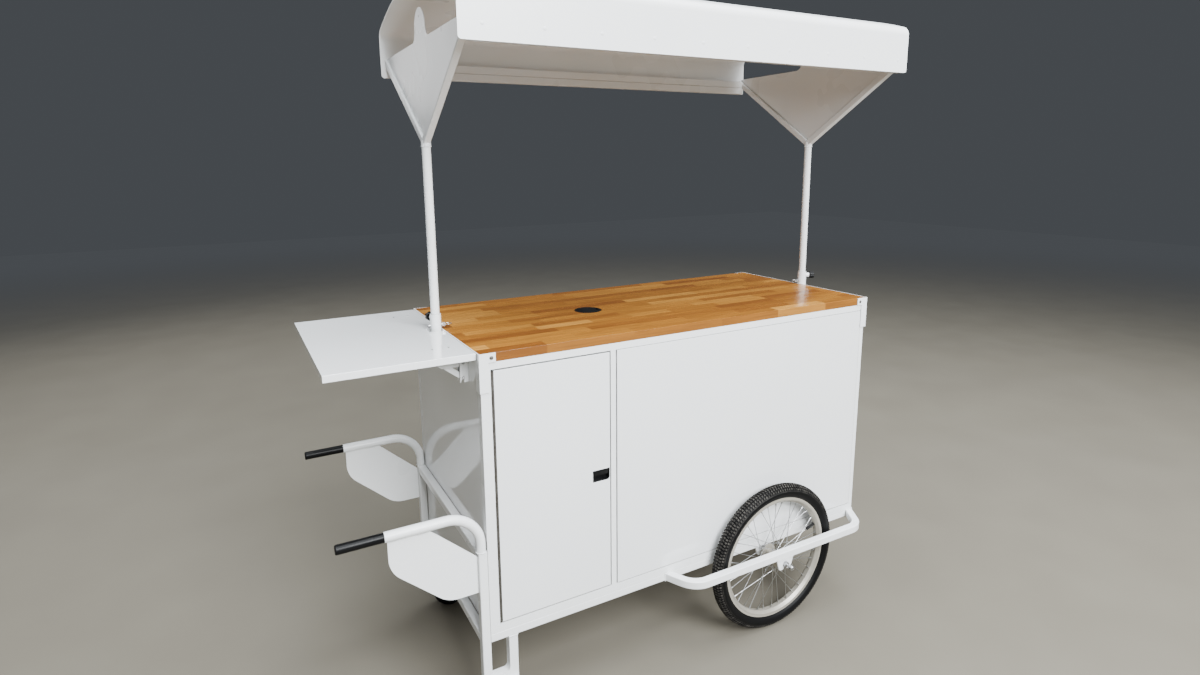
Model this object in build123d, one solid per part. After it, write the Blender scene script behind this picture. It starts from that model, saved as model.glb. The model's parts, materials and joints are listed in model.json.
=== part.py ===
from build123d import *
import math
import os

# Two-wheeled vending cart: a cabinet on a tube chassis, with push handles and castors at one end,
# a fold-down side shelf above the handles and a canopy that lifts off its two posts.
# X runs from the cabinet's handle end, Y from its middle (front is -Y), Z from the floor. Millimetres.

# Driving dimensions: cabinet and chassis
cabinet_length = 1420
cabinet_depth = 644
chassis_above_axle = 43
tube = 25
tube_wall = 2
tube_round = 3
cross_member_x = 420
chassis_inset = 4
worktop_top = 1103
worktop_thickness = 25
worktop_overhang = 5
board = 18
board_round = 1
end_board = 12
floor_board = 12
corner_stile = 28
middle_stile = 17
far_stile = 16
bottom_rail = 25
top_rail = 20
panel_seam = 4
panel_reveal = 1.5
inner_shelf_height = 690
inner_shelf_setback = 30
grommet_x = 488
grommet_rim = 90
grommet_bore = 80
grommet_wall = 2.5
grommet_lip = 3
cap_slot = 16

# Driving dimensions: metal caps on the worktop's ends
end_cap = 3
end_cap_tab = 46
end_cap_leg = 26
end_cap_drop = 80

# Driving dimensions: door, hinge and latch
door_width = 347
door_gap = 3
door_gap_top = 4.5
hinge_gap = 8
hinge_leaf = 1.2
hinge_leaf_depth = 12
knuckle_radius = 3.2
hinge_pin_radius = 1.5
hinge_pin_setback = 2
knuckle_count = 12
knuckle_gap = 0.6
latch_width = 56
latch_height = 35
latch_depth = 16
latch_wall = 3
latch_bottom = 672
latch_edge = 2
latch_corner = 9
paddle_thickness = 3
paddle_setback = 3
paddle_play = 1
finger_gap = 14
trunnion_radius = 1.5
catch_length = 40
catch_width = 14

# Driving dimensions: handles
handle_reach = 381
handle_height = 665
handle_bend = 93
handle_radius = 13.5
handle_rise = 113
grip_length = 117
grip_radius = 12.5
grip_spigot = 40
grip_round = 3
plate_thickness = 3
plate_reach = 257
plate_top_start = 150
plate_outer_height = 86
plate_on_upright = 106
plate_below_upright_top = 13
plate_bottom_run = 85
plate_round = 80

# Driving dimensions: legs and castors
leg_gap = 53
leg_round = 12
castor_height = 138
pad_thickness = 4
pad_width = 60
castor_wheel_radius = 50
castor_wheel_width = 30
castor_trail = 30
castor_heading = -30
castor_plate = 3
kingpin_radius = 6
kingpin_head = 9.5
fork_sheet = 3
fork_side_gap = 2
race_radius = 22
castor_axle_radius = 4

# Driving dimensions: main wheels and guards
wheel_setback = 420
wheel_offset = 40
wheel_radius = 257
tyre_section = 24
tyre_wall = 4
tube_skin = 1.2
rim_half_width = 15.6
rim_flange = 2
rim_outer_radius = 213
rim_inner_radius = 195
rim_base = 7
hub_half_length = 46
hub_barrel_radius = 12
hub_shell_radius = 16
hub_flange_radius = 29
hub_flange_offset = 24
hub_flange_thickness = 5
axle_radius = 5
axle_tail = 36
axle_cap_radius = 8
axle_cap_length = 14
axle_cap_round = 5
cone_radius = 9
nut_size = 17
nut_thickness = 10
spoke_count = 36
spoke_radius = 1
spoke_lean = 60
spoke_stagger = 1.9
nipple_radius = 2
nipple_length = 11
dropout_thickness = 5
dropout_half_width = 36
dropout_foot_half_width = 24
dropout_drop = 20
dropout_round = 12
dropout_lip = 5
guard_reach = 97
guard_near_reach = 404
guard_far_inset = 12
guard_near_slant = 40
guard_far_slant = 50
guard_near_bend = 70
guard_far_bend = 62

# Driving dimensions: side shelf and its folding brackets
shelf_length = 371
shelf_depth = 616
shelf_thickness = 18
notch_round = 6
bracket_spread = 218
pivot_setback = 14
pivot_drop = 26
channel_width = 24
channel_depth = 24
channel_drop = 97
channel_headroom = 10
sheet = 2
sheet_play = 1
arm_length = 91
arm_end_radius = 9
arm_tip_depth = 11
pivot_pin_radius = 4
strut_pin_radius = 3
strut_pivot_reach = 57
strut_pivot_rise = 2
strut_length = 70
strut_angle = 37.6
strut_half_width = 7
strut_pin_overhang = 1
slot_play = 1.2
slot_lean = 4

# Driving dimensions: sockets, posts, locking pins and clamp knobs
post_radius = 12.5
post_wall = 2
post_foot = 10
socket_wall = 3
socket_drop = 53
socket_rise = 46
socket_plate_width = 60
socket_plate_drop = 103
socket_plate_weld = 1
lock_pin_rise = 13
lock_pin_radius = 3
lock_pin_tail = 22
lock_pin_shank = 20
lock_pin_eye = 6
lock_ring_radius = 11
lock_ring_wire = 1
post_slot_play = 0.5
knob_rise = 33
knob_angle_handle = 80
knob_angle_far = -30
boss_radius = 8
boss_length = 10
knob_stud_radius = 4
knob_radius = 13
knob_thickness = 14
knob_standoff = 4
knob_flute_radius = 4
knob_flutes = 6

# Driving dimensions: canopy
canopy_overhang_handle = 24
canopy_overhang_far = 11
canopy_half_depth = 394
canopy_headroom = 749
skirt_height = 116
canopy_bend = 30
canopy_roof = 1100
canopy_sheet = 2
canopy_corner = 9
hem_tube = 25
hem_depth = 20
yoke_tube = 20
yoke_round = 3
yoke_wall = 2
yoke_drop = 212
yoke_seat = 45
collar_radius = 13.8
collar_drop = 12
collar_rise = 6
post_below_apex = 8
gusset_thickness = 2.5
gusset_margin = 10
tongue_width = 100
tongue_height = 82
tongue_fillet = 30
tongue_hole = 3
tongue_hole_drop = 23

# Fits between pieces
slide_clearance = 0.4
running_clearance = 0.08
seat_clearance = 0.1
touch_clearance = 0.3
shelf_clearance = 1
notch_clearance = 10

# Places worked out from the driving dimensions
front = -cabinet_depth / 2
back = cabinet_depth / 2
chassis_top = wheel_radius + chassis_above_axle
chassis_bottom = chassis_top - tube
cabinet_top = worktop_top - worktop_thickness
panel_bottom = chassis_top + bottom_rail
panel_top = cabinet_top - top_rail
door_left = corner_stile + hinge_gap
door_right = door_left + door_width
middle_left = door_right + door_gap
middle_right = middle_left + middle_stile
leg_bottom = castor_height + pad_thickness
upright_top = handle_height - handle_rise
upright_x = -tube / 2
upright_y = front + tube / 2
leg_right = leg_gap + tube
castor_x = (leg_right - tube) / 2
axle_height = wheel_radius
wheel_x = cabinet_length - wheel_setback
guard_near_x = wheel_x - guard_near_reach
guard_far_x = cabinet_length - guard_far_inset
wheel_y = front - wheel_offset
cone_end = hub_half_length + hub_flange_thickness - 1
far_face = cabinet_length + worktop_overhang
socket_radius = post_radius + slide_clearance + socket_wall
post_near = -end_cap - seat_clearance - socket_radius
post_far = far_face + end_cap + seat_clearance + socket_radius
canopy_near = post_near - canopy_overhang_handle
canopy_far = post_far + canopy_overhang_far
shelf_bottom = worktop_top - shelf_thickness
shelf_edge = -end_cap - shelf_clearance
pivot_x = -pivot_setback
pivot_z = shelf_bottom - pivot_drop
channel_bottom = worktop_top - channel_drop
socket_bottom = worktop_top - socket_drop
socket_top = worktop_top + socket_rise
socket_plate_bottom = worktop_top - socket_plate_drop
lock_pin_height = worktop_top + lock_pin_rise
knob_height = worktop_top + knob_rise
post_bottom = socket_bottom + post_foot
canopy_bottom = worktop_top + canopy_headroom
canopy_bend_height = canopy_bottom + skirt_height
yoke_apex = canopy_bottom - yoke_drop
yoke_rise = yoke_drop + yoke_seat
skirt_inside = canopy_half_depth - canopy_sheet
collar_bottom = yoke_apex - collar_drop
collar_top = yoke_apex + collar_rise
post_top = yoke_apex - post_below_apex
gusset_top = canopy_bottom + 2 * hem_tube + gusset_margin
nodes = {}


def block(x_low, x_high, y_low, y_high, z_low, z_high):
    """A box given by its lowest and highest corners."""
    centre = Pos((x_low + x_high) / 2, (y_low + y_high) / 2, (z_low + z_high) / 2)
    return centre * Box(x_high - x_low, y_high - y_low, z_high - z_low)


def board_block(x_low, x_high, y_low, y_high, z_low, z_high):
    """A board with slightly rounded edges, given by its lowest and highest corners."""
    return fillet(block(x_low, x_high, y_low, y_high, z_low, z_high).edges(), board_round)


def tube_section():
    """Wall of the square tube: two rounded squares, one inside the other."""
    bore = tube - 2 * tube_wall
    return RectangleRounded(tube, tube, tube_round) - RectangleRounded(bore, bore, tube_round - tube_wall)


def square_tube(start, end):
    """A square tube with open ends, from one point of its middle line to another."""
    run = Vector(*end) - Vector(*start)
    return extrude(Plane(origin=start, z_dir=run) * tube_section(), amount=run.length)


def rod(start, end, radius):
    """A round bar from one point to another."""
    run = Vector(*end) - Vector(*start)
    place = Plane(origin=start, z_dir=run)
    return place * Cylinder(radius, run.length, align=(Align.CENTER, Align.CENTER, Align.MIN))


def prism_x(outline, x_low, x_high):
    """Extrudes an outline drawn in Y and Z between two X values."""
    return extrude(Plane.YZ.offset(x_low) * outline, amount=x_high - x_low)


def prism_y(outline, y_low, y_high):
    """Extrudes an outline drawn in X and Z between two Y values."""
    return extrude(Plane.XZ.offset(-y_high) * outline, amount=y_high - y_low)


def prism_z(outline, z_low, z_high):
    """Extrudes an outline drawn in X and Y between two Z values."""
    return extrude(Plane.XY.offset(z_low) * outline, amount=z_high - z_low)


def outline(*points):
    """A flat face with straight sides through the given points, listed either way round."""
    following = points[1:] + points[:1]
    turn = sum(a[0] * b[1] - b[0] * a[1] for a, b in zip(points, following))
    return Polygon(*(points if turn > 0 else points[::-1]), align=None)


def mirrored(shape):
    """The same piece on the back side of the cart."""
    return mirror(shape, about=Plane.XZ)


def save(node, *pieces):
    """Keeps the solids of a node until every node is drawn."""
    nodes[node] = [solid for piece in pieces for solid in piece.solids()]


def write_nodes():
    """Writes every node, moved so that the origin is on the floor below the middle of the whole cart."""
    extent = Compound([solid for solids in nodes.values() for solid in solids]).bounding_box()
    centre = extent.center()
    move = Pos(-centre.X, -centre.Y, 0)
    os.makedirs("parts", exist_ok=True)
    for node, solids in nodes.items():
        moved = [move * solid for solid in solids]
        export_step(moved[0] if len(moved) == 1 else Compound(moved), f"parts/{node}.step")


def chassis():
    """Square-tube base frame under the cabinet."""
    far_end = cabinet_length - chassis_inset
    middle_z = chassis_bottom + tube / 2
    side = square_tube((0, upright_y, middle_z), (far_end, upright_y, middle_z))
    save("chassis_side_rails", side, mirrored(side))
    members = []
    for middle_x in (upright_x, cross_member_x, wheel_x, far_end - tube / 2):
        members.append(square_tube((middle_x, front + tube, middle_z), (middle_x, back - tube, middle_z)))
    save("chassis_cross_rails", *members)


def legs():
    """Uprights at the handle end, the short legs beside them and the pads for the castors."""
    upright = square_tube((upright_x, upright_y, leg_bottom), (upright_x, upright_y, upright_top))
    save("handle_uprights", upright, mirrored(upright))
    foot_top = leg_bottom + tube
    shape = outline((0, leg_bottom), (leg_right, leg_bottom), (leg_right, chassis_bottom),
                    (leg_gap, chassis_bottom), (leg_gap, foot_top), (0, foot_top))
    inner_corner = [v for v in shape.vertices() if v.X > 1 and abs(v.Y - foot_top) < 1]
    leg = prism_y(fillet(inner_corner, leg_round), front, front + tube)
    half_pad = pad_width / 2
    pad = block(-tube, leg_right, upright_y - half_pad, upright_y + half_pad, castor_height, leg_bottom)
    frame = leg + pad
    save("leg_frames", frame, mirrored(frame))


def handles():
    """Bent push handles, their side plates, grips and the bar between the uprights."""
    bar_z = upright_top - tube / 2
    save("handle_cross_bar", square_tube((upright_x, front + tube, bar_z), (upright_x, back - tube, bar_z)))
    handle_x = -handle_radius - touch_clearance
    foot = (handle_x, upright_y, upright_top)
    corner = (handle_x, upright_y, handle_height)
    tip = (grip_length - handle_reach, upright_y, handle_height)
    path = FilletPolyline(foot, corner, tip, radius=handle_bend)
    start = Plane(origin=foot, z_dir=(0, 0, 1))
    wall = Circle(handle_radius) - Circle(handle_radius - tube_wall)
    handle = sweep(start * wall, path)
    save("push_handles", handle, mirrored(handle))
    grip = rod((-handle_reach, upright_y, handle_height), tip, grip_radius)
    grip = fillet(grip.edges().sort_by(Axis.X)[0], grip_round)
    spigot_radius = handle_radius - tube_wall - seat_clearance
    grip += rod(tip, (tip[0] + grip_spigot, upright_y, handle_height), spigot_radius)
    save("handle_grips", grip, mirrored(grip))
    top = handle_height - handle_radius
    neck = upright_top - plate_below_upright_top
    foot_z = neck - plate_on_upright
    shape = outline((-plate_reach, top), (-plate_top_start, top), (-tube, neck), (-tube, foot_z),
                    (-tube - plate_bottom_run, foot_z), (-plate_reach, top - plate_outer_height))
    low_corners = [v for v in shape.vertices() if v.X < -tube - 1 and v.Y < top - 1]
    shape = fillet(low_corners, plate_round)
    plate = prism_y(shape, upright_y - plate_thickness / 2, upright_y + plate_thickness / 2)
    save("handle_plates", plate, mirrored(plate))


def guards():
    """Bent square tubes around the wheels, welded to the chassis at both ends."""
    mid_z = chassis_bottom + tube / 2
    run_y = front - guard_reach + tube / 2
    inside = tube / 2
    points = [(guard_near_x, front), (guard_near_x + guard_near_slant, run_y),
              (guard_far_x - guard_far_slant, run_y), (guard_far_x, front)]
    entry = Vector(points[0][0] - points[1][0], points[0][1] - points[1][1]).normalized() * inside
    leave = Vector(points[3][0] - points[2][0], points[3][1] - points[2][1]).normalized() * inside
    first = (points[0][0] + entry.X, points[0][1] + entry.Y, mid_z)
    last = (points[3][0] + leave.X, points[3][1] + leave.Y, mid_z)
    corners = [(x, y, mid_z) for x, y in points[1:3]]
    path = FilletPolyline(first, *corners, last, radius=[guard_near_bend, guard_far_bend])
    start = Plane(origin=first, x_dir=(0, 0, 1), z_dir=-entry)
    guard = sweep(start * tube_section(), path)
    guard -= block(0, cabinet_length + tube, front, front + tube, chassis_bottom - 1, chassis_top + 1)
    save("wheel_guard_front", guard)
    save("wheel_guard_back", mirrored(guard))


def dropout(y_low):
    """Plate with an open slot from below that holds one end of an axle."""
    half = dropout_half_width
    foot = dropout_foot_half_width
    low = axle_height - dropout_drop
    shape = outline((wheel_x - half, chassis_bottom), (wheel_x + half, chassis_bottom),
                    (wheel_x + foot, low), (wheel_x - foot, low))
    shape = fillet([v for v in shape.vertices() if v.Y < axle_height], dropout_round)
    slot = axle_radius + seat_clearance
    shape -= outline((wheel_x - slot, low), (wheel_x + slot, low),
                     (wheel_x + slot, axle_height), (wheel_x - slot, axle_height))
    shape -= Pos(wheel_x, axle_height) * Circle(slot)
    lips = [v for v in shape.vertices() if v.Y < low + 1 and abs(v.X - wheel_x) < slot + 1]
    return prism_y(fillet(lips, dropout_lip), y_low, y_low + dropout_thickness)


def axles():
    """Fixed axles with cones, nuts and capped ends, between an outer and an inner dropout."""
    outer_y = wheel_y - cone_end - dropout_thickness
    inner_y = wheel_y + cone_end
    pair = [dropout(outer_y), dropout(inner_y)]
    save("axle_dropouts", *pair, *[mirrored(piece) for piece in pair])
    tail = cone_end + dropout_thickness + axle_tail
    axle = rod((wheel_x, wheel_y - tail, axle_height), (wheel_x, wheel_y + tail, axle_height), axle_radius)
    nuts = []
    for side in (-1, 1):
        cone_start = wheel_y + side * (hub_half_length + touch_clearance)
        cone_tip = wheel_y + side * cone_end
        axle += rod((wheel_x, cone_start, axle_height), (wheel_x, cone_tip, axle_height), cone_radius)
        cap = Pos(wheel_x, wheel_y + side * (tail - axle_cap_length / 2), axle_height) * Rot(90, 0, 0)
        cap *= Cylinder(axle_cap_radius, axle_cap_length)
        tip_edge = cap.edges().filter_by(GeomType.CIRCLE).sort_by(Axis.Y)[0 if side < 0 else -1]
        axle += fillet(tip_edge, axle_cap_round)
        nut_start = wheel_y + side * (cone_end + dropout_thickness)
        low = min(nut_start, nut_start + side * nut_thickness)
        hexagon = Pos(wheel_x, axle_height) * RegularPolygon(nut_size / 2, 6, major_radius=False)
        hexagon -= Pos(wheel_x, axle_height) * Circle(axle_radius + seat_clearance)
        nuts.append(prism_y(hexagon, low, low + nut_thickness))
    pieces = [axle, *nuts]
    save("wheel_axles", *pieces, *[mirrored(piece) for piece in pieces])


def spoke(flange_side, lean_side, rim_angle):
    """One spoke with its nipple, drawn about the Z axis."""
    hub_angle = math.radians(rim_angle - lean_side * spoke_lean)
    end_angle = math.radians(rim_angle)
    hub_reach = hub_flange_radius + spoke_radius + touch_clearance
    rim_reach = rim_inner_radius - 2 * touch_clearance
    hub_height = flange_side * hub_flange_offset + lean_side * spoke_stagger
    start = Vector(hub_reach * math.cos(hub_angle), hub_reach * math.sin(hub_angle), hub_height)
    end_height = flange_side * nipple_radius
    end = Vector(rim_reach * math.cos(end_angle), rim_reach * math.sin(end_angle), end_height)
    nipple_start = end - (end - start).normalized() * nipple_length
    return rod(start, end, spoke_radius) + rod(nipple_start, end, nipple_radius)


def wheels():
    """Spoked wheels: tyre with inner tube, rim, spokes and hub, drawn about Z and laid on the axle."""
    section_x = wheel_radius - tyre_section
    casing = Pos(section_x, 0) * (Circle(tyre_section) - Circle(tyre_section - tyre_wall))
    bead_gap = rim_half_width - rim_flange - tyre_wall - touch_clearance
    mouth_top = rim_outer_radius + rim_base + rim_flange
    mouth = Rectangle(mouth_top - rim_inner_radius, 2 * bead_gap)
    casing -= Pos((rim_inner_radius + mouth_top) / 2, 0) * mouth
    tyre = revolve(Plane.XZ * casing, Axis.Z)
    tube_outer = tyre_section - tyre_wall - touch_clearance
    ring = Pos(section_x, 0) * (Circle(tube_outer) - Circle(tube_outer - tube_skin))
    inner_tube = revolve(Plane.XZ * ring, Axis.Z)
    well = rim_half_width - rim_flange
    shoulder = rim_inner_radius + rim_base + 1
    base = rim_inner_radius + rim_base
    half = rim_half_width
    profile = outline((rim_inner_radius, -rim_base), (rim_inner_radius, rim_base), (shoulder, half),
                      (rim_outer_radius, half), (rim_outer_radius, well), (shoulder + rim_flange, well),
                      (base, well / 2), (base, -well / 2), (shoulder + rim_flange, -well),
                      (rim_outer_radius, -well), (rim_outer_radius, -half), (shoulder, -half))
    rim = revolve(Plane.XZ * profile, Axis.Z)
    hub = Cylinder(hub_barrel_radius, 2 * hub_half_length)
    hub += Cylinder(hub_shell_radius, 2 * hub_flange_offset)
    for side in (-1, 1):
        hub += Pos(0, 0, side * hub_flange_offset) * Cylinder(hub_flange_radius, hub_flange_thickness)
    hub -= Cylinder(axle_radius + running_clearance, 2 * hub_half_length)
    per_flange = spoke_count // 4
    step = 360 / per_flange
    spokes = []
    for flange_side in (-1, 1):
        for lean_side in (-1, 1):
            offset = (1 + flange_side) * step / 8 + (1 + lean_side) * step / 4
            spokes += [spoke(flange_side, lean_side, offset + step * k) for k in range(per_flange)]
    place = Pos(wheel_x, wheel_y, axle_height) * Rot(90, 0, 0)
    groups = {"tyre": [tyre], "inner_tube": [inner_tube], "rim": [rim], "spokes": spokes, "hub": [hub]}
    for name, pieces in groups.items():
        placed = [place * piece for piece in pieces]
        save(f"wheel_{name}_front", *placed)
        save(f"wheel_{name}_back", *[mirrored(piece) for piece in placed])


def castors():
    """Swivel castors under the legs: top plates with kingpins, forks with axles, and wheels."""
    plate_bottom = castor_height - castor_plate
    race_top = plate_bottom - shelf_clearance
    crown_top = race_top - 3 * fork_sheet
    crown_bottom = crown_top - 2 * fork_sheet
    half_plate = pad_width / 2 - castor_plate
    plate = block(-half_plate, half_plate, -half_plate, half_plate, plate_bottom, castor_height)
    head_top = crown_bottom - touch_clearance
    plate += rod((0, 0, head_top), (0, 0, plate_bottom), kingpin_radius)
    plate += rod((0, 0, head_top - fork_sheet), (0, 0, head_top), kingpin_head)
    inner = castor_wheel_width / 2 + fork_side_gap
    outer = inner + fork_sheet
    fork = rod((0, 0, crown_top), (0, 0, race_top), race_radius)
    fork += block(-race_radius, race_radius, -outer, outer, crown_bottom, crown_top)
    hub_round = 3 * castor_axle_radius
    leg = make_hull([*(Pos(castor_trail, castor_wheel_radius) * Circle(hub_round)).edges(),
                     *outline((-race_radius, crown_bottom), (race_radius, crown_bottom),
                              (race_radius, crown_top), (-race_radius, crown_top)).edges()])
    leg -= Pos(castor_trail, castor_wheel_radius) * Circle(castor_axle_radius + seat_clearance)
    fork += prism_y(leg, inner, outer) + prism_y(leg, -outer, -inner)
    fork -= rod((0, 0, crown_bottom), (0, 0, race_top), kingpin_radius + running_clearance)
    centre = (castor_trail, castor_wheel_radius)
    bolt_end = outer + 2 * fork_sheet
    bolt = prism_y(Pos(*centre) * Circle(castor_axle_radius), -bolt_end, bolt_end)
    head = Pos(*centre) * (RegularPolygon(2 * castor_axle_radius, 6) - Circle(castor_axle_radius))
    bolt += prism_y(head, outer, bolt_end) + prism_y(head, -bolt_end, -outer)
    bore = castor_axle_radius + running_clearance
    half = castor_wheel_width / 2
    face = outline((bore, -half), (castor_wheel_radius, -half), (castor_wheel_radius, half), (bore, half))
    face = fillet([v for v in face.vertices() if v.X > castor_axle_radius + 1], castor_wheel_width / 4)
    roller = Pos(castor_trail, 0, castor_wheel_radius) * Rot(90, 0, 0) * revolve(Plane.XZ * face, Axis.Z)
    turn = Rot(0, 0, castor_heading)
    places = {"front": Pos(castor_x, upright_y, 0), "back": Pos(castor_x, -upright_y, 0)}
    save("castor_top_plates", *[place * plate for place in places.values()])
    for name, place in places.items():
        save(f"castor_fork_{name}", place * turn * fork, place * turn * bolt)
        save(f"castor_wheel_{name}", place * turn * roller)


def cabinet():
    """Frame, panels, floor, inner shelf, worktop and cable grommet."""
    high = (chassis_top, cabinet_top)
    far = cabinet_length
    stiles = [block(0, corner_stile, front, front + tube, *high),
              block(middle_left, middle_right, front, front + tube, *high),
              block(far - far_stile, far, front, front + tube, *high),
              block(0, tube, back - tube, back, *high),
              block(far - tube, far, back - tube, back, *high)]
    save("cabinet_stiles", *stiles)
    rails = []
    for z_low, z_high in ((chassis_top, panel_bottom), (panel_top, cabinet_top)):
        rails.append(block(corner_stile, middle_left, front, front + tube, z_low, z_high))
        rails.append(block(middle_right, far - far_stile, front, front + tube, z_low, z_high))
        rails.append(block(tube, far - tube, back - tube, back, z_low, z_high))
    save("cabinet_rails", *rails)
    front_left, front_right = middle_right + panel_seam, far - far_stile
    low, top = panel_bottom + panel_reveal, panel_top - panel_reveal
    save("front_panel", board_block(front_left, front_right, front, front + board, low, top))
    save("back_panel", board_block(tube, far - tube, back - board, back, panel_bottom, panel_top))
    near_panel = block(0, end_board, front + tube, back - tube, *high)
    far_panel = block(far - end_board, far, front + tube, back - tube, *high)
    save("end_panels", near_panel, far_panel)
    inside = (end_board, far - end_board)
    save("cabinet_floor", block(*inside, front + tube, back - tube, chassis_top, chassis_top + floor_board))
    low, high = inner_shelf_height, inner_shelf_height + board
    save("inner_shelf", board_block(*inside, front + inner_shelf_setback, back - tube, low, high))
    rim_bottom = worktop_top - grommet_lip
    hole = rod((grommet_x, 0, cabinet_top), (grommet_x, 0, worktop_top), grommet_bore / 2)
    hole += rod((grommet_x, 0, rim_bottom), (grommet_x, 0, worktop_top), grommet_rim / 2 + touch_clearance)
    save("worktop", board_block(0, far_face, front, back, cabinet_top, worktop_top) - hole)
    sleeve = grommet_bore / 2 - touch_clearance
    opening = sleeve - grommet_wall
    ring = rod((grommet_x, 0, rim_bottom), (grommet_x, 0, worktop_top), grommet_rim / 2)
    ring += rod((grommet_x, 0, cabinet_top), (grommet_x, 0, rim_bottom), sleeve)
    ring -= rod((grommet_x, 0, cabinet_top), (grommet_x, 0, worktop_top), opening)
    step = worktop_top - 2 * grommet_lip
    ledge = Circle(opening) - Circle(opening - 2 * grommet_lip)
    ring += prism_z(Pos(grommet_x, 0) * ledge, step - grommet_lip, step)
    save("cable_grommet", ring)
    disc = Circle(opening - touch_clearance) - Pos(opening, 0) * Rectangle(opening, cap_slot)
    save("grommet_cap", prism_z(Pos(grommet_x, 0) * disc, step, worktop_top))


def end_caps():
    """Folded metal caps over the worktop's ends, with a tab and a leg at each corner."""
    low_leg = cabinet_top - end_cap_drop
    caps = []
    for face, side in ((0, -1), (far_face, 1)):
        outer = face + side * end_cap
        ends = (min(face, outer), max(face, outer))
        cap = block(*ends, front - end_cap, back + end_cap, cabinet_top, worktop_top)
        tab = sorted((outer, outer - side * end_cap_tab))
        leg = sorted((outer, outer - side * end_cap_leg))
        corner = block(*tab, front - end_cap, front, cabinet_top, worktop_top)
        corner += block(*leg, front - end_cap, front, low_leg, cabinet_top)
        corner += block(*ends, front - end_cap, front + end_cap_leg, low_leg, cabinet_top)
        caps.append(cap + corner + mirrored(corner))
    save("worktop_end_caps", *caps)


def door():
    """Front door on a piano hinge, with a flush latch and a magnetic catch."""
    door_bottom, door_top = panel_bottom + door_gap, panel_top - door_gap_top
    latch_right = door_right - latch_edge
    latch_left = latch_right - latch_width
    latch_top = latch_bottom + latch_height
    frame = outline((latch_left, latch_bottom), (latch_right, latch_bottom),
                    (latch_right, latch_top), (latch_left, latch_top))
    lower_right = [v for v in frame.vertices() if v.X > latch_left + 1 and v.Y < latch_top - 1]
    frame = fillet(lower_right, latch_corner)
    leaf = board_block(door_left, door_right, front, front + board, door_bottom, door_top)
    save("door_panel", leaf - prism_y(frame, front, front + board))
    recess = offset(frame, -latch_wall, kind=Kind.ARC)
    cup = prism_y(frame, front, front + latch_depth)
    cup -= prism_y(recess, front, front + latch_depth - latch_wall)
    pin_y = front + paddle_setback + paddle_thickness / 2
    pin_z = latch_top - latch_wall - paddle_thickness
    pin_left = latch_left + latch_wall / 2
    pin_right = latch_right - latch_wall / 2
    cup -= rod((pin_left, pin_y, pin_z), (pin_right, pin_y, pin_z), trunnion_radius + running_clearance)
    save("latch_cup", cup)
    swing = latch_wall + paddle_play
    lip_z = latch_bottom + latch_wall + finger_gap
    plate = outline((latch_left + swing, lip_z), (latch_right - swing, lip_z),
                    (latch_right - swing, pin_z), (latch_left + swing, pin_z))
    paddle = prism_y(plate, front + paddle_setback, front + paddle_setback + paddle_thickness)
    bead_left, bead_right = latch_left + swing, latch_right - swing
    paddle += rod((bead_left, pin_y, pin_z), (bead_right, pin_y, pin_z), paddle_thickness / 2)
    pin_left += touch_clearance
    pin_right -= touch_clearance
    paddle += rod((pin_left, pin_y, pin_z), (pin_right, pin_y, pin_z), trunnion_radius)
    save("latch_paddle", paddle)
    catch_front = front + board + touch_clearance
    catch_low = latch_top + board
    magnet = block(middle_left - catch_width, middle_left, catch_front, front + tube,
                   catch_low, catch_low + catch_length)
    save("door_catch", magnet)
    hinge(door_bottom, door_top)


def hinge(z_low, z_high):
    """Piano hinge: two leaves with alternating knuckles on one long pin."""
    pin_x = corner_stile + hinge_gap / 2
    pin_y = front + hinge_pin_setback
    leaf_start = pin_y + knuckle_radius + touch_clearance
    leaf_end = leaf_start + hinge_leaf_depth
    pitch = (z_high - z_low) / knuckle_count
    for name, face, parity in (("frame", corner_stile, 0), ("door", door_left, 1)):
        inner = face + hinge_leaf * (1 - 2 * parity)
        sides = (min(face, inner), max(face, inner))
        leaf = block(*sides, leaf_start, leaf_end, z_low, z_high)
        for k in range(parity, knuckle_count, 2):
            low = z_low + k * pitch + knuckle_gap / 2
            high = low + pitch - knuckle_gap
            leaf += block(*sides, pin_y, leaf_start, low, high)
            leaf += rod((pin_x, pin_y, low), (pin_x, pin_y, high), knuckle_radius)
        leaf -= rod((pin_x, pin_y, z_low), (pin_x, pin_y, z_high), hinge_pin_radius + running_clearance)
        save(f"hinge_{name}_leaf", leaf)
    save("hinge_pin", rod((pin_x, pin_y, z_low), (pin_x, pin_y, z_high), hinge_pin_radius))


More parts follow.
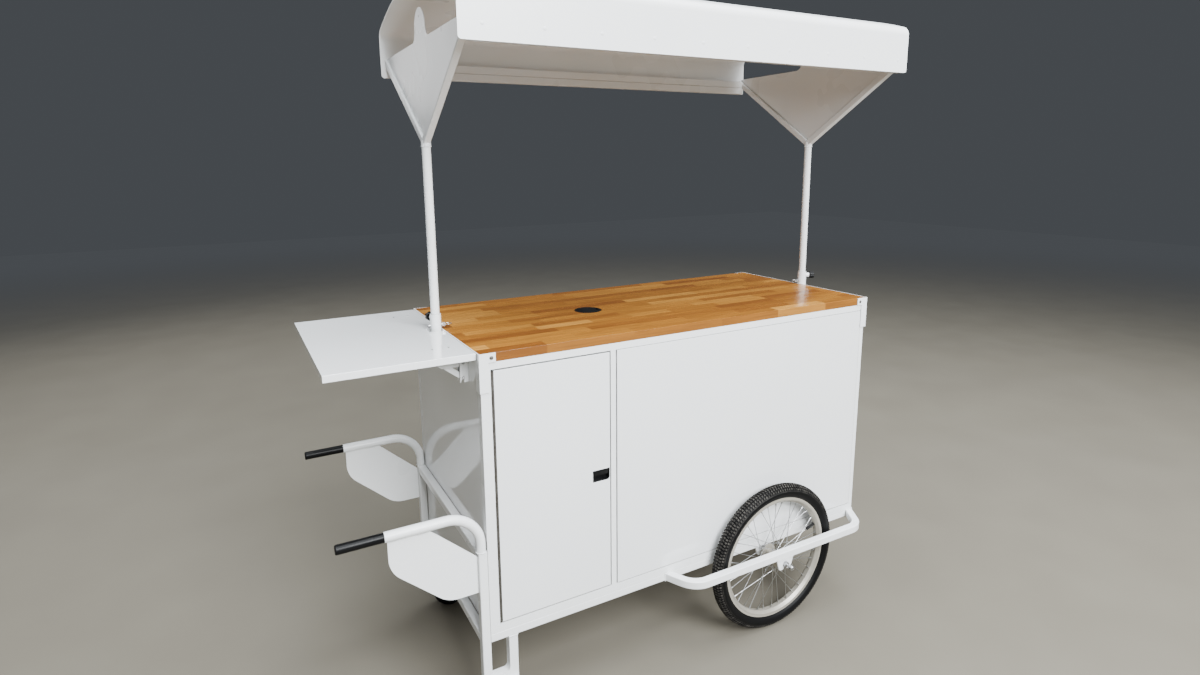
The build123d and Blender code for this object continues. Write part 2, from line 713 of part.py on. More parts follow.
def side_shelf():
    """Fold-down shelf with two folding brackets: channels, arms and struts with their pins."""
    half = shelf_depth / 2
    shelf = board_block(shelf_edge - shelf_length, shelf_edge, -half, half, shelf_bottom, worktop_top)
    notch_half = socket_radius + notch_clearance
    notch_x = post_near - notch_half
    notch = outline((notch_x, -notch_half), (shelf_edge, -notch_half),
                    (shelf_edge, notch_half), (notch_x, notch_half))
    notch = fillet([v for v in notch.vertices() if v.X < post_near], notch_round)
    save("side_shelf", shelf - prism_z(notch, shelf_bottom, worktop_top))
    strut_x = pivot_x - strut_pivot_reach
    strut_z = pivot_z + strut_pivot_rise
    lean = math.radians(strut_angle)
    foot_x = strut_x + strut_length * math.cos(lean)
    foot_z = strut_z - strut_length * math.sin(lean)
    half_channel = channel_width / 2
    half_arm = half_channel - sheet - sheet_play
    half_strut = half_arm - sheet - sheet_play
    top = cabinet_top - end_cap
    side = outline((-channel_depth, channel_bottom), (0, channel_bottom), (0, top), (-channel_depth, top))
    side -= Pos(pivot_x, pivot_z) * Circle(pivot_pin_radius + seat_clearance)
    slot = strut_pin_radius + slot_play
    exit_z = channel_bottom - 2 * slot
    slot_ends = (Pos(foot_x, foot_z), Pos(foot_x - slot_lean, exit_z))
    side -= make_hull([edge for end in slot_ends for edge in (end * Circle(slot)).edges()])
    web_top = top - channel_headroom
    arm_back = pivot_x + arm_end_radius
    arm_tip = pivot_x - arm_length
    flange_z = shelf_bottom - sheet
    cheek = outline((arm_tip, shelf_bottom), (arm_back, shelf_bottom), (arm_back, pivot_z),
                    (pivot_x, pivot_z - arm_end_radius), (strut_x, pivot_z - arm_end_radius),
                    (arm_tip, shelf_bottom - arm_tip_depth))
    cheek += Pos(pivot_x, pivot_z) * Circle(arm_end_radius)
    cheek -= Pos(pivot_x, pivot_z) * Circle(pivot_pin_radius + running_clearance)
    cheek -= Pos(strut_x, strut_z) * Circle(strut_pin_radius + seat_clearance)
    bar = make_hull([*(Pos(strut_x, strut_z) * Circle(strut_half_width)).edges(),
                     *(Pos(foot_x, foot_z) * Circle(strut_half_width)).edges()])
    bar -= Pos(strut_x, strut_z) * Circle(strut_pin_radius + running_clearance)
    channels, arms, struts, pivots, strut_pins = [], [], [], [], []
    for middle in (-bracket_spread, bracket_spread):
        low, high = middle - half_channel, middle + half_channel
        channel = prism_y(side, low, low + sheet) + prism_y(side, high - sheet, high)
        channels.append(channel + block(-sheet, 0, low, high, channel_bottom, web_top))
        low, high = middle - half_arm, middle + half_arm
        arm = prism_y(cheek, low, low + sheet) + prism_y(cheek, high - sheet, high)
        arms.append(arm + block(arm_tip, arm_back, low, high, flange_z, shelf_bottom))
        body = prism_y(bar, middle - half_strut, middle + half_strut)
        reach = half_channel + strut_pin_overhang
        near, far = middle - reach, middle + reach
        struts.append(body + rod((foot_x, near, foot_z), (foot_x, far, foot_z), strut_pin_radius))
        pivots.append(rod((pivot_x, near, pivot_z), (pivot_x, far, pivot_z), pivot_pin_radius))
        strut_pins.append(rod((strut_x, low, strut_z), (strut_x, high, strut_z), strut_pin_radius))
    save("shelf_bracket_channels", *channels)
    save("shelf_pivot_pins", *pivots)
    save("shelf_bracket_arms", *arms, *strut_pins)
    save("shelf_struts", *struts)


def sockets():
    """Post sockets on the cabinet's ends, with locking pins and clamp knobs."""
    pin_hole = lock_pin_radius + running_clearance
    pair = []
    handle_end = ("handle", post_near, 0, -1, knob_angle_handle)
    far_end = ("far", post_far, cabinet_length, 1, knob_angle_far)
    for name, post_x, face, side, knob_angle in (handle_end, far_end):
        socket = rod((post_x, 0, socket_bottom), (post_x, 0, socket_top), socket_radius)
        packer = sorted((face, post_x - side * (socket_radius - socket_plate_weld)))
        half = socket_plate_width / 2
        plate_top = cabinet_top - end_cap
        socket += block(*packer, -half, half, socket_plate_bottom, plate_top)
        aim = math.radians(knob_angle)
        along = Vector(side * math.cos(aim), math.sin(aim), 0)
        middle = Vector(post_x, 0, knob_height)
        boss_end = socket_radius + boss_length
        socket += rod(middle, middle + along * boss_end, boss_radius)
        socket -= rod((post_x, 0, socket_bottom), (post_x, 0, socket_top), post_radius + slide_clearance)
        socket -= rod(middle, middle + along * boss_end, knob_stud_radius + running_clearance)
        low, high = post_x - 2 * socket_radius, post_x + 2 * socket_radius
        socket -= rod((low, 0, lock_pin_height), (high, 0, lock_pin_height), pin_hole)
        pair.append(socket)
        save(f"lock_pin_{name}", *lock_pin(post_x, side))
        save(f"clamp_knob_{name}", clamp_knob(middle, along, boss_end))
    save("post_sockets", *pair)


def lock_pin(post_x, side):
    """Cross pin with an eye and a pull ring, above the worktop."""
    tail_x = post_x + side * lock_pin_tail
    head_x = post_x - side * lock_pin_shank
    pin = rod((tail_x, 0, lock_pin_height), (head_x, 0, lock_pin_height), lock_pin_radius)
    eye_x = head_x - side * lock_pin_eye / 2
    ring_hole = lock_ring_wire + touch_clearance
    eye = Pos(eye_x, lock_pin_height) * Circle(lock_pin_eye)
    hole = Pos(eye_x - side * lock_pin_eye / 3, lock_pin_height) * Circle(ring_hole)
    pin += prism_y(eye, -lock_pin_radius / 2, lock_pin_radius / 2)
    pin -= prism_y(hole, -lock_pin_radius, lock_pin_radius)
    ring_x = eye_x - side * (lock_pin_eye / 3 + lock_ring_radius)
    ring = Pos(ring_x, 0, lock_pin_height) * Torus(lock_ring_radius, lock_ring_wire)
    return pin, ring


def clamp_knob(middle, along, boss_end):
    """Fluted knob on a stud that presses on the post."""
    tip = post_radius + touch_clearance
    head = boss_end + knob_standoff
    stud = rod(middle + along * tip, middle + along * head, knob_stud_radius)
    grip = Circle(knob_radius)
    for k in range(knob_flutes):
        turn = 2 * math.pi * k / knob_flutes
        reach = knob_radius + knob_flute_radius / 2
        grip -= Pos(reach * math.cos(turn), reach * math.sin(turn)) * Circle(knob_flute_radius)
    place = Plane(origin=middle + along * head, z_dir=along)
    return stud + extrude(place * grip, amount=knob_thickness)


def canopy_outline(inset, bottom):
    """Cross-section in Y and Z: upright skirts, rolled bends and a barrel roof."""
    half = canopy_half_depth - inset
    bend = canopy_bend - inset
    roof = canopy_roof - inset
    spread = canopy_half_depth - canopy_bend
    roof_z = canopy_bend_height - math.sqrt((canopy_roof - canopy_bend) ** 2 - spread ** 2)
    join = math.asin(spread / (canopy_roof - canopy_bend))
    middle = (math.pi / 2 + join) / 2
    join_point = (roof * math.sin(join), roof_z + roof * math.cos(join))
    bend_point = (spread + bend * math.sin(middle), canopy_bend_height + bend * math.cos(middle))
    right = [Line((half, bottom), (half, canopy_bend_height)),
             ThreePointArc((half, canopy_bend_height), bend_point, join_point)]
    left = [Line((-half, bottom), (-half, canopy_bend_height)),
            ThreePointArc((-half, canopy_bend_height), (-bend_point[0], bend_point[1]),
                          (-join_point[0], join_point[1]))]
    crown = ThreePointArc((-join_point[0], join_point[1]), (0, roof_z + roof), join_point)
    return make_face([*right, *left, crown, Line((-half, bottom), (half, bottom))])


def canopy():
    """Bent sheet roof with hem rails of two stacked tubes, carried by yokes with gussets on the two posts."""
    shell = prism_x(canopy_outline(0, canopy_bottom), canopy_near, canopy_far)
    shell -= prism_x(canopy_outline(canopy_sheet, canopy_bottom - 1), canopy_near, canopy_far)
    save("canopy_sheet", fillet(shell.edges().filter_by(Axis.Y), canopy_corner))
    past_yoke = yoke_tube / 2 + seat_clearance
    ends = (post_near + past_yoke, post_far - past_yoke)
    wall = RectangleRounded(hem_depth, hem_tube, tube_round)
    wall -= RectangleRounded(hem_depth - 2 * tube_wall, hem_tube - 2 * tube_wall, tube_round - tube_wall)
    rails = []
    for middle_z in (canopy_bottom + hem_tube / 2, canopy_bottom + 3 * hem_tube / 2):
        rail = prism_x(Pos(hem_depth / 2 - skirt_inside, middle_z) * wall, *ends)
        rails += [rail, mirrored(rail)]
    save("canopy_hem_rails", *rails)
    yokes, gussets, posts = [], [], []
    for post_x in (post_near, post_far):
        yokes.append(yoke(post_x))
        gussets.append(gusset(post_x))
        posts.append(post(post_x))
    save("canopy_yokes", *yokes)
    save("canopy_gussets", *gussets)
    save("canopy_posts", *posts)


def yoke_leg(apex, skirt_point):
    """One sloping square tube of a yoke, cut upright at the middle and at the skirt."""
    run = (skirt_point - apex).normalized()
    start = apex - run * yoke_tube
    length = (skirt_point - apex).length + 2 * yoke_tube
    bore = yoke_tube - 2 * yoke_wall
    outside = RectangleRounded(yoke_tube, yoke_tube, yoke_round)
    inside = RectangleRounded(bore, bore, yoke_round - yoke_wall)
    leg = extrude(Plane(start, (1, 0, 0), run) * outside, amount=length)
    hollow = extrude(Plane(apex + run * yoke_tube, (1, 0, 0), run) * inside, amount=length)
    keep = sorted((0, skirt_point.Y))
    return (leg - hollow) & block(apex.X - tube, apex.X + tube, *keep, 0, skirt_point.Z + yoke_rise)


def yoke(post_x):
    """Two sloping square tubes that meet on a collar at the top of a post."""
    apex = Vector(post_x, 0, yoke_apex)
    solid = rod((post_x, 0, collar_bottom), (post_x, 0, collar_top), collar_radius)
    for side in (-1, 1):
        solid += yoke_leg(apex, Vector(post_x, side * skirt_inside, yoke_apex + yoke_rise))
    return solid - rod((post_x, 0, collar_bottom), (post_x, 0, post_top), post_radius + seat_clearance)


def gusset(post_x):
    """Sheet between the yoke's tubes, with a rounded tongue at its middle."""
    slope = math.atan2(yoke_rise, skirt_inside)
    lift = (yoke_tube / 2 + seat_clearance) / math.cos(slope)
    side_z = min(yoke_apex + yoke_rise + lift, gusset_top)
    side_y = (side_z - yoke_apex - lift) / math.tan(slope)
    half = tongue_width / 2
    shoulder = gusset_top + tongue_height - half
    foot = half + tongue_fillet
    plate = outline((0, yoke_apex + lift), (side_y, side_z), (side_y, gusset_top), (-side_y, gusset_top),
                    (-side_y, side_z))
    tongue = outline((-foot, gusset_top), (foot, gusset_top), (foot, gusset_top + tongue_fillet),
                     (-foot, gusset_top + tongue_fillet))
    for side in (-1, 1):
        tongue -= Pos(side * foot, gusset_top + tongue_fillet) * Circle(tongue_fillet)
    tongue += outline((-half, gusset_top), (half, gusset_top), (half, shoulder), (-half, shoulder))
    tongue += Pos(0, shoulder) * Circle(half)
    tongue -= Pos(0, gusset_top + tongue_height - tongue_hole_drop) * Circle(tongue_hole)
    return prism_x(plate + tongue, post_x - gusset_thickness / 2, post_x + gusset_thickness / 2)


def post(post_x):
    """Round tube, slotted from below so that it drops over the locking pin."""
    tube_solid = rod((post_x, 0, post_bottom), (post_x, 0, post_top), post_radius)
    tube_solid -= rod((post_x, 0, post_bottom), (post_x, 0, post_top), post_radius - post_wall)
    slot = lock_pin_radius + post_slot_play
    low, high = post_x - 2 * post_radius, post_x + 2 * post_radius
    cut = block(low, high, -slot, slot, post_bottom, lock_pin_height)
    top = rod((low, 0, lock_pin_height), (high, 0, lock_pin_height), slot)
    return tube_solid - cut - top


chassis()
legs()
handles()
guards()
axles()
wheels()
castors()
cabinet()
end_caps()
door()
side_shelf()
sockets()
canopy()
write_nodes()
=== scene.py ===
# %% [markdown]
# # A vending push cart
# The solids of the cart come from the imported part. They already have the right shape and size, so this
# lesson adds the looks: a camera, a pale studio, finishes for every surface, and the small repeated
# things that a maker adds last, such as tread knobs, screws, rivets and weld beads.

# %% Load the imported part
import json
import math

import bmesh
import bpy
from mathutils import Matrix, Vector


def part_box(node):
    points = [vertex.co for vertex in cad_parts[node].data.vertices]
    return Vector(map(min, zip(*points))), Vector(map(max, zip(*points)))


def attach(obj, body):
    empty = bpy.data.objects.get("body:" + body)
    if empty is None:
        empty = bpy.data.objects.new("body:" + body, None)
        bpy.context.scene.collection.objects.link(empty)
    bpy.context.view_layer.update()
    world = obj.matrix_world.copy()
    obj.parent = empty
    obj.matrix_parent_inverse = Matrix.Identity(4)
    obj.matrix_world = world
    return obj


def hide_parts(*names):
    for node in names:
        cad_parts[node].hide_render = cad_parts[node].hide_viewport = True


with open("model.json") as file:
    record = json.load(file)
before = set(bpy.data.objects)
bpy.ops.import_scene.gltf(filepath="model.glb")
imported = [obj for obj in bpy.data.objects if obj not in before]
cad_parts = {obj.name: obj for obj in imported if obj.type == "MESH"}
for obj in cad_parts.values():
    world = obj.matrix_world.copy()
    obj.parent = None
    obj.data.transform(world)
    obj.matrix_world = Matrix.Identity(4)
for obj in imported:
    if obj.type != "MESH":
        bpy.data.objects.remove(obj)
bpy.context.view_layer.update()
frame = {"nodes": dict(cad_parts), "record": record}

NODES = frame["nodes"]

# %% [markdown]
# The maker of this cart measures from the cabinet: X from its handle end, Y from its middle, Z from the
# floor, in millimetres. One helper turns such a place into the part's own frame, in metres. The sizes
# below are the ones that several pieces share.

# %% A maker's place in metres
CABINET_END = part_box("worktop")[0][0]


def at(x, y, z):
    """A place measured from the cabinet in millimetres, as a point of the part's frame in metres."""
    return Vector((CABINET_END + x / 1000, y / 1000, z / 1000))


HALF_DEPTH = 322
TUBE_MIDDLE = 309.5
PAD_TOP = 142
WHEEL_X = 1000
WHEEL_Y = {"front": -362, "back": 362}
AXLE_Z = 257
AXLE = at(WHEEL_X, 0, AXLE_Z)
print("cabinet starts at X", round(CABINET_END, 4))

# %% [markdown]
# The photograph was taken at eye height in front of the handle end, looking down a little. The camera
# stands in the same place. Its turn is given as three angles, and a small shift puts the middle of the
# view where the photograph has it.

# %% Camera
PHOTO_WIDTH = 1200
PHOTO_HEIGHT = 675
FOCAL_PIXELS = 680.36
MIDDLE_PIXEL = (588.43, 292.03)
YAW, PITCH, ROLL = 0.4942, 0.1893, -0.0111
CAMERA_PLACE = (-545.4, -1922.8, 1581.2)

lens = bpy.data.cameras.new("photo_camera")
lens.sensor_width = 36
lens.lens = FOCAL_PIXELS / PHOTO_WIDTH * lens.sensor_width
lens.shift_x = (PHOTO_WIDTH / 2 - MIDDLE_PIXEL[0]) / PHOTO_WIDTH
lens.shift_y = (MIDDLE_PIXEL[1] - PHOTO_HEIGHT / 2) / PHOTO_WIDTH
camera = bpy.data.objects.new("photo_camera", lens)
bpy.context.collection.objects.link(camera)
ahead = Vector((math.sin(YAW) * math.cos(PITCH), math.cos(YAW) * math.cos(PITCH), -math.sin(PITCH)))
level = Vector((math.cos(YAW), -math.sin(YAW), 0))
above = level.cross(ahead)
right = math.cos(ROLL) * level + math.sin(ROLL) * above
up = math.cos(ROLL) * above - math.sin(ROLL) * level
turn = Matrix((right, up, -ahead)).transposed()
camera.matrix_world = Matrix.Translation(at(*CAMERA_PLACE)) @ turn.to_4x4()
bpy.context.scene.camera = camera
print("lens", round(lens.lens, 2), "mm, camera at", [round(v, 3) for v in camera.location])

# %% [markdown]
# A white cart needs contrast to keep its shape. The floor is pale and warm, and throws a little warm
# light under the roof. The surroundings are a middle grey, so that white edges stand out and the oiled
# wood isn't veiled by a bright horizon. Large lamps do the lighting: a high one in front, a wide one
# above, and weaker ones for the far end and the back.

# %% Floor and light
FLOOR = 14
BACKDROP = (0.33, 0.36, 0.40)
BACKDROP_STRENGTH = 0.20
CART_MIDDLE = Vector((0, 0, 1))
corners = [(-FLOOR, -FLOOR, 0), (FLOOR, -FLOOR, 0), (FLOOR, FLOOR, 0), (-FLOOR, FLOOR, 0)]
floor_mesh = bpy.data.meshes.new("floor")
floor_mesh.from_pydata(corners, [], [(0, 1, 2, 3)])
floor = bpy.data.objects.new("floor", floor_mesh)
bpy.context.collection.objects.link(floor)

world = bpy.data.worlds.new("studio")
bpy.context.scene.world = world
world.use_nodes = True
world.node_tree.nodes["Background"].inputs["Color"].default_value = (*BACKDROP, 1)
world.node_tree.nodes["Background"].inputs["Strength"].default_value = BACKDROP_STRENGTH


def lamp(name, place, size, power, color=(1, 1, 1)):
    """A square soft lamp that looks at the middle of the cart."""
    light = bpy.data.lights.new(name, "AREA")
    light.size = size
    light.energy = power
    light.color = color
    item = bpy.data.objects.new(name, light)
    bpy.context.collection.objects.link(item)
    item.location = place
    item.rotation_euler = (CART_MIDDLE - Vector(place)).to_track_quat("-Z", "Y").to_euler()


lamp("key_lamp", (0.3, -5.4, 4.4), 3.6, 1280, (0.95, 0.98, 1.0))
lamp("sky_lamp", (0.3, -0.8, 6.2), 5.0, 880, (0.92, 0.97, 1.0))
lamp("far_lamp", (4.6, -1.2, 3.0), 3.0, 60)
lamp("back_lamp", (-2.2, 5.2, 3.6), 3.2, 95)
print("lamps", len(bpy.data.lights))

# %% [markdown]
# A finish is a small tree of nodes that ends in one shader. The helpers keep the trees readable: one
# opens a new finish, one adds a node and fills its sockets, and the others name the few steps that every
# finish uses. All patterns read Object coordinates, so they stay on the piece from every side.

# %% Helpers for finishes
def new_finish(name, color, roughness, metallic=0.0):
    """A finish with its plain colour, roughness and metal set on the shader itself."""
    finish = bpy.data.materials.new(name)
    finish.use_nodes = True
    shader = finish.node_tree.nodes["Principled BSDF"]
    shader.inputs["Base Color"].default_value = (*color, 1)
    shader.inputs["Roughness"].default_value = roughness
    shader.inputs["Metallic"].default_value = metallic
    return finish, finish.node_tree, shader


def node(tree, kind, settings=None, **sockets):
    """A new node. A socket is given by its name, or by i and its number. It takes a value or a socket."""
    made = tree.nodes.new(kind)
    for key, value in (settings or {}).items():
        setattr(made, key, value)
    for key, value in sockets.items():
        by_number = key[0] == "i" and key[1:].isdigit()
        socket = made.inputs[int(key[1:])] if by_number else made.inputs[key]
        if isinstance(value, bpy.types.NodeSocket):
            tree.links.new(value, socket)
        else:
            socket.default_value = value
    return made


def places(tree, scale=(1, 1, 1), offset=(0, 0, 0)):
    """Object coordinates, stretched and moved."""
    coords = node(tree, "ShaderNodeTexCoord")
    moved = node(tree, "ShaderNodeMapping", Vector=coords.outputs["Object"], Location=offset, Scale=scale)
    return moved.outputs[0]


def noise(tree, where, scale, detail=2.0, rough=0.5):
    """Soft random values from 0 to 1."""
    made = node(tree, "ShaderNodeTexNoise", Vector=where, Scale=scale, Detail=detail, Roughness=rough)
    return made.outputs[0]


def spread(tree, value, low, high, to_low=0.0, to_high=1.0):
    """A value stretched from one range to another and kept inside it."""
    return node(tree, "ShaderNodeMapRange", i0=value, i1=low, i2=high, i3=to_low, i4=to_high).outputs[0]


def maths(tree, operation, first, second=0.0):
    """One sum of two values."""
    return node(tree, "ShaderNodeMath", {"operation": operation}, i0=first, i1=second).outputs[0]


def vectors(tree, operation, first, second):
    """One sum of two vectors."""
    return node(tree, "ShaderNodeVectorMath", {"operation": operation}, i0=first, i1=second).outputs[0]


def scaled(tree, vector, factor):
    """A vector times a number."""
    return node(tree, "ShaderNodeVectorMath", {"operation": "SCALE"}, Vector=vector, Scale=factor).outputs[0]


print("node helpers are ready")

# %% [markdown]
# The next helpers work on the look itself: one mixes two colours, one raises the surface, and one joins
# colour and gloss to the shader. The last paints shade into a colour: it greys joints and corners by
# measuring how open a place is within a few millimetres, a painted shade where real shade would fall.

# %% Helpers for colour and painted shade
# The grey below is painted shade for joints and corners, not dirt.
CORNER_SHADE = (0.30, 0.29, 0.27)
SHADE_REACH = 0.006
SHADE_AMOUNT = 0.7
TIGHT, OPEN = 0.35, 0.85
FINISHES = {}


def tint(tree, amount, base, other, blend="MIX"):
    """A colour between two, by an amount. Each colour is a value or a socket."""
    made = node(tree, "ShaderNodeMix", {"data_type": "RGBA", "blend_type": blend}, i0=amount)
    for index, color in ((6, base), (7, other)):
        if isinstance(color, bpy.types.NodeSocket):
            tree.links.new(color, made.inputs[index])
        else:
            made.inputs[index].default_value = (*color, 1)
    return made.outputs[2]


def bump(tree, shader, height, strength, distance):
    """Lets a value raise the surface a little."""
    made = node(tree, "ShaderNodeBump", Strength=strength, Distance=distance, Height=height)
    tree.links.new(made.outputs[0], shader.inputs["Normal"])


def feed(tree, shader, color, roughness):
    """Joins a colour and a roughness to the shader."""
    tree.links.new(color, shader.inputs["Base Color"])
    tree.links.new(roughness, shader.inputs["Roughness"])


def corner_shaded(tree, color):
    """A colour with painted shade: it greys in joints and corners, where shade falls."""
    openness = node(tree, "ShaderNodeAmbientOcclusion", {"samples": 8}, Distance=SHADE_REACH).outputs["AO"]
    return tint(tree, spread(tree, openness, TIGHT, OPEN, SHADE_AMOUNT, 0.0), color, CORNER_SHADE)


print("colour helpers are ready")

# %% [markdown]
# The tubes and bent sheets are powder coated. Powder flows out before it is baked, so it keeps a faint
# orange peel about a millimetre wide, and its gloss varies gently. Road dirt gathers low down, so a thin
# grey film fades out towards the cabinet.

# %% White powder coat
DIRT_TOP = 0.34
DIRT_AMOUNT = 0.22
PEEL_SCALE = 650
finish, tree, shader = new_finish("white_powder_coat", (0.82, 0.835, 0.845), 0.28)
where = places(tree)
height = node(tree, "ShaderNodeSeparateXYZ", Vector=where).outputs["Z"]
low_down = spread(tree, height, 0.0, DIRT_TOP, 1.0, 0.0)
blotches = spread(tree, noise(tree, where, 14, 5, 0.6), 0.35, 0.75)
film = maths(tree, "MULTIPLY", maths(tree, "MULTIPLY", low_down, blotches), DIRT_AMOUNT)
cloud = spread(tree, noise(tree, where, 3.5, 3), 0.3, 0.7)
clean = tint(tree, cloud, (0.81, 0.825, 0.835), (0.835, 0.845, 0.855))
flecks = spread(tree, noise(tree, places(tree, offset=(3, 1, 2)), 260, 1), 0.76, 0.80, 0.0, 0.07)
worn = tint(tree, flecks, clean, (0.55, 0.54, 0.52))
dirty = tint(tree, film, worn, (0.42, 0.38, 0.33))
gloss = spread(tree, noise(tree, where, 6, 2), 0.2, 0.8, 0.25, 0.31)
# The colour gets painted shade in its joints and corners.
feed(tree, shader, corner_shaded(tree, dirty), gloss)
bump(tree, shader, noise(tree, where, PEEL_SCALE, 2), 0.06, 0.0004)
FINISHES["white_frame"] = finish
print(finish.name, len(tree.nodes), "nodes")

# %% [markdown]
# The panels are boards with a glossy white lacquer. A lacquered board isn't quite flat: it ripples over a
# hand's width, which bends its reflections. Hands leave dull marks, so the gloss has soft smudges.

# %% White lacquered board
RIPPLE_SCALE = 5
finish, tree, shader = new_finish("white_lacquer", (0.82, 0.835, 0.85), 0.1)
shader.inputs["Coat Weight"].default_value = 0.6
shader.inputs["Coat Roughness"].default_value = 0.03
where = places(tree)
cloud = spread(tree, noise(tree, where, 2.2, 3), 0.3, 0.7)
smudges = spread(tree, noise(tree, places(tree, offset=(5, 2, 1)), 8, 6, 0.62), 0.42, 0.72, 0.06, 0.15)
dust = spread(tree, noise(tree, where, 420, 1), 0.72, 0.80, 0.0, 0.08)
clean = tint(tree, cloud, (0.81, 0.825, 0.84), (0.835, 0.845, 0.86))
dusty = tint(tree, dust, clean, (0.62, 0.62, 0.61))
# The colour gets painted shade in its joints and corners.
feed(tree, shader, corner_shaded(tree, dusty), smudges)
bump(tree, shader, noise(tree, where, RIPPLE_SCALE, 1), 0.25, 0.0015)
FINISHES["white_board"] = finish
print(finish.name, len(tree.nodes), "nodes")

# %% [markdown]
# The worktop is glued up from short staves of oiled hardwood. Rows run along the cart, each a few fingers
# wide, and every row is cut into blocks at its own places. A picture of wood could be laid on the board,
# but then every cart would show the same knots. Here the tree counts the rows and the blocks instead. A
# row draws a random number, which moves its joints along and sets how long its blocks are.

# %% Staves and blocks
STAVE_WIDTH = 0.0403
BLOCK_SHORTEST, BLOCK_LONGEST = 0.19, 0.34
BLOCK_WANDER = 0.30
ROW_SHIFT = 3.7
LANES_APART = 7.31
EDGE_MARGIN = 0.0001
finish, tree, shader = new_finish("oiled_staves", (0.46, 0.2, 0.045), 0.3)
shader.inputs["Specular IOR Level"].default_value = 0.35
shader.inputs["Coat Weight"].default_value = 0.12
shader.inputs["Coat Roughness"].default_value = 0.12
from_edge = places(tree, offset=(0, HALF_DEPTH / 1000 + EDGE_MARGIN, 0))
axes = node(tree, "ShaderNodeSeparateXYZ", Vector=from_edge)
across = maths(tree, "DIVIDE", axes.outputs["Y"], STAVE_WIDTH)
row = maths(tree, "FLOOR", across)
draw = node(tree, "ShaderNodeTexWhiteNoise", {"noise_dimensions": "1D"}, W=row).outputs["Value"]
apart = maths(tree, "MULTIPLY", row, LANES_APART)
lane = node(tree, "ShaderNodeCombineXYZ", X=axes.outputs["X"], Y=apart).outputs[0]
wander = maths(tree, "MULTIPLY", noise(tree, lane, 2.3, 0), BLOCK_WANDER)
wandered = maths(tree, "ADD", axes.outputs["X"], wander)
shifted = maths(tree, "ADD", maths(tree, "MULTIPLY", draw, ROW_SHIFT), wandered)
along = maths(tree, "DIVIDE", shifted, spread(tree, draw, 0.0, 1.0, BLOCK_SHORTEST, BLOCK_LONGEST))
number = node(tree, "ShaderNodeCombineXYZ", X=row, Y=maths(tree, "FLOOR", along)).outputs[0]
lot = node(tree, "ShaderNodeTexWhiteNoise", {"noise_dimensions": "2D"}, Vector=number)
print("staves", round(2 * HALF_DEPTH / 1000 / STAVE_WIDTH), "rows")

# %% [markdown]
# Each block's number now draws its tone and its own piece of grain, so no two blocks match. The grain is
# noise stretched along the cart. Fine dark pores and a thin line at every glued joint finish the wood.

# %% Grain and joints
TONES = {0.0: (0.21, 0.072, 0.008), 0.3: (0.29, 0.112, 0.012), 0.62: (0.35, 0.145, 0.017),
         0.85: (0.42, 0.186, 0.026), 1.0: (0.52, 0.250, 0.044)}
STREAK_AMOUNT = 0.72
PORE_AMOUNT = 0.35
SEAM_AMOUNT = 0.5
GRAIN_APART = 19.0
ROW_SEAM, BLOCK_SEAM = 0.008, 0.0016
ramp = node(tree, "ShaderNodeValToRGB", i0=lot.outputs["Value"])
steps = ramp.color_ramp.elements
for position, tone in TONES.items():
    step = steps[0] if position == 0.0 else steps[-1] if position == 1.0 else steps.new(position)
    step.color = (*tone, 1)
piece = scaled(tree, lot.outputs["Color"], GRAIN_APART)
grain = noise(tree, vectors(tree, "ADD", places(tree, scale=(3, 46, 46)), piece), 1.6, 7, 0.62)
fine = noise(tree, vectors(tree, "ADD", places(tree, scale=(7, 240, 240)), piece), 1.0, 4, 0.6)
pores = noise(tree, vectors(tree, "ADD", places(tree, scale=(60, 1400, 1400)), piece), 1.0, 2)
pores = spread(tree, pores, 0.60, 0.72)
bands = maths(tree, "ADD", maths(tree, "MULTIPLY", grain, 0.6), maths(tree, "MULTIPLY", fine, 0.4))
streaks = tint(tree, spread(tree, bands, 0.34, 0.66), (0.38, 0.29, 0.20), (1.28, 1.27, 1.22))
wood = tint(tree, STREAK_AMOUNT, ramp.outputs[0], streaks, "MULTIPLY")
wood = tint(tree, maths(tree, "MULTIPLY", pores, PORE_AMOUNT), wood, (0.16, 0.06, 0.015))


def joint(position, half_width):
    """1 close to a whole number, 0 elsewhere."""
    part = maths(tree, "FRACT", position)
    edge = maths(tree, "MINIMUM", part, maths(tree, "SUBTRACT", 1.0, part))
    return maths(tree, "LESS_THAN", edge, half_width)


seam = maths(tree, "MAXIMUM", joint(across, ROW_SEAM), joint(along, BLOCK_SEAM))
wood = tint(tree, maths(tree, "MULTIPLY", seam, SEAM_AMOUNT), wood, (0.18, 0.07, 0.018))
feed(tree, shader, wood, spread(tree, grain, 0.3, 0.7, 0.34, 0.24))
relief = maths(tree, "SUBTRACT", maths(tree, "MULTIPLY", grain, 0.4), maths(tree, "MULTIPLY", pores, 0.5))
bump(tree, shader, relief, 0.12, 0.0004)
FINISHES["worktop_wood"] = finish
print(finish.name, len(tree.nodes), "nodes")

# %% [markdown]
# Pins, spokes and castor forks are zinc plated steel: bright metal broken into faint crystals, with fine
# scratches that change its gloss. The long hinge has the same build in a dark tone: partly plain steel,
# partly painted shade for the shadow in its narrow gap. One function makes both.

# %% Bright zinc and dark steel
def metal_finish(slot, dark, light, smooth, dull):
    """Metal between two tones and two roughnesses."""
    finish, tree, shader = new_finish(slot, light, dull, 1.0)
    crystals = node(tree, "ShaderNodeTexVoronoi", Vector=places(tree), Scale=160.0).outputs["Color"]
    value = node(tree, "ShaderNodeSeparateColor", Color=crystals).outputs[0]
    scratches = noise(tree, places(tree, scale=(1, 1, 14)), 220, 3)
    feed(tree, shader, tint(tree, value, dark, light), spread(tree, scratches, 0.3, 0.7, smooth, dull))
    bump(tree, shader, scratches, 0.06, 0.0002)
    FINISHES[slot] = finish
    print(slot, len(tree.nodes), "nodes")


metal_finish("zinc", (0.44, 0.445, 0.455), (0.54, 0.545, 0.55), 0.30, 0.40)
# The dark tone is partly the hinge's steel, partly painted shade of its gap.
metal_finish("dark_steel", (0.14, 0.13, 0.12), (0.21, 0.20, 0.185), 0.40, 0.60)

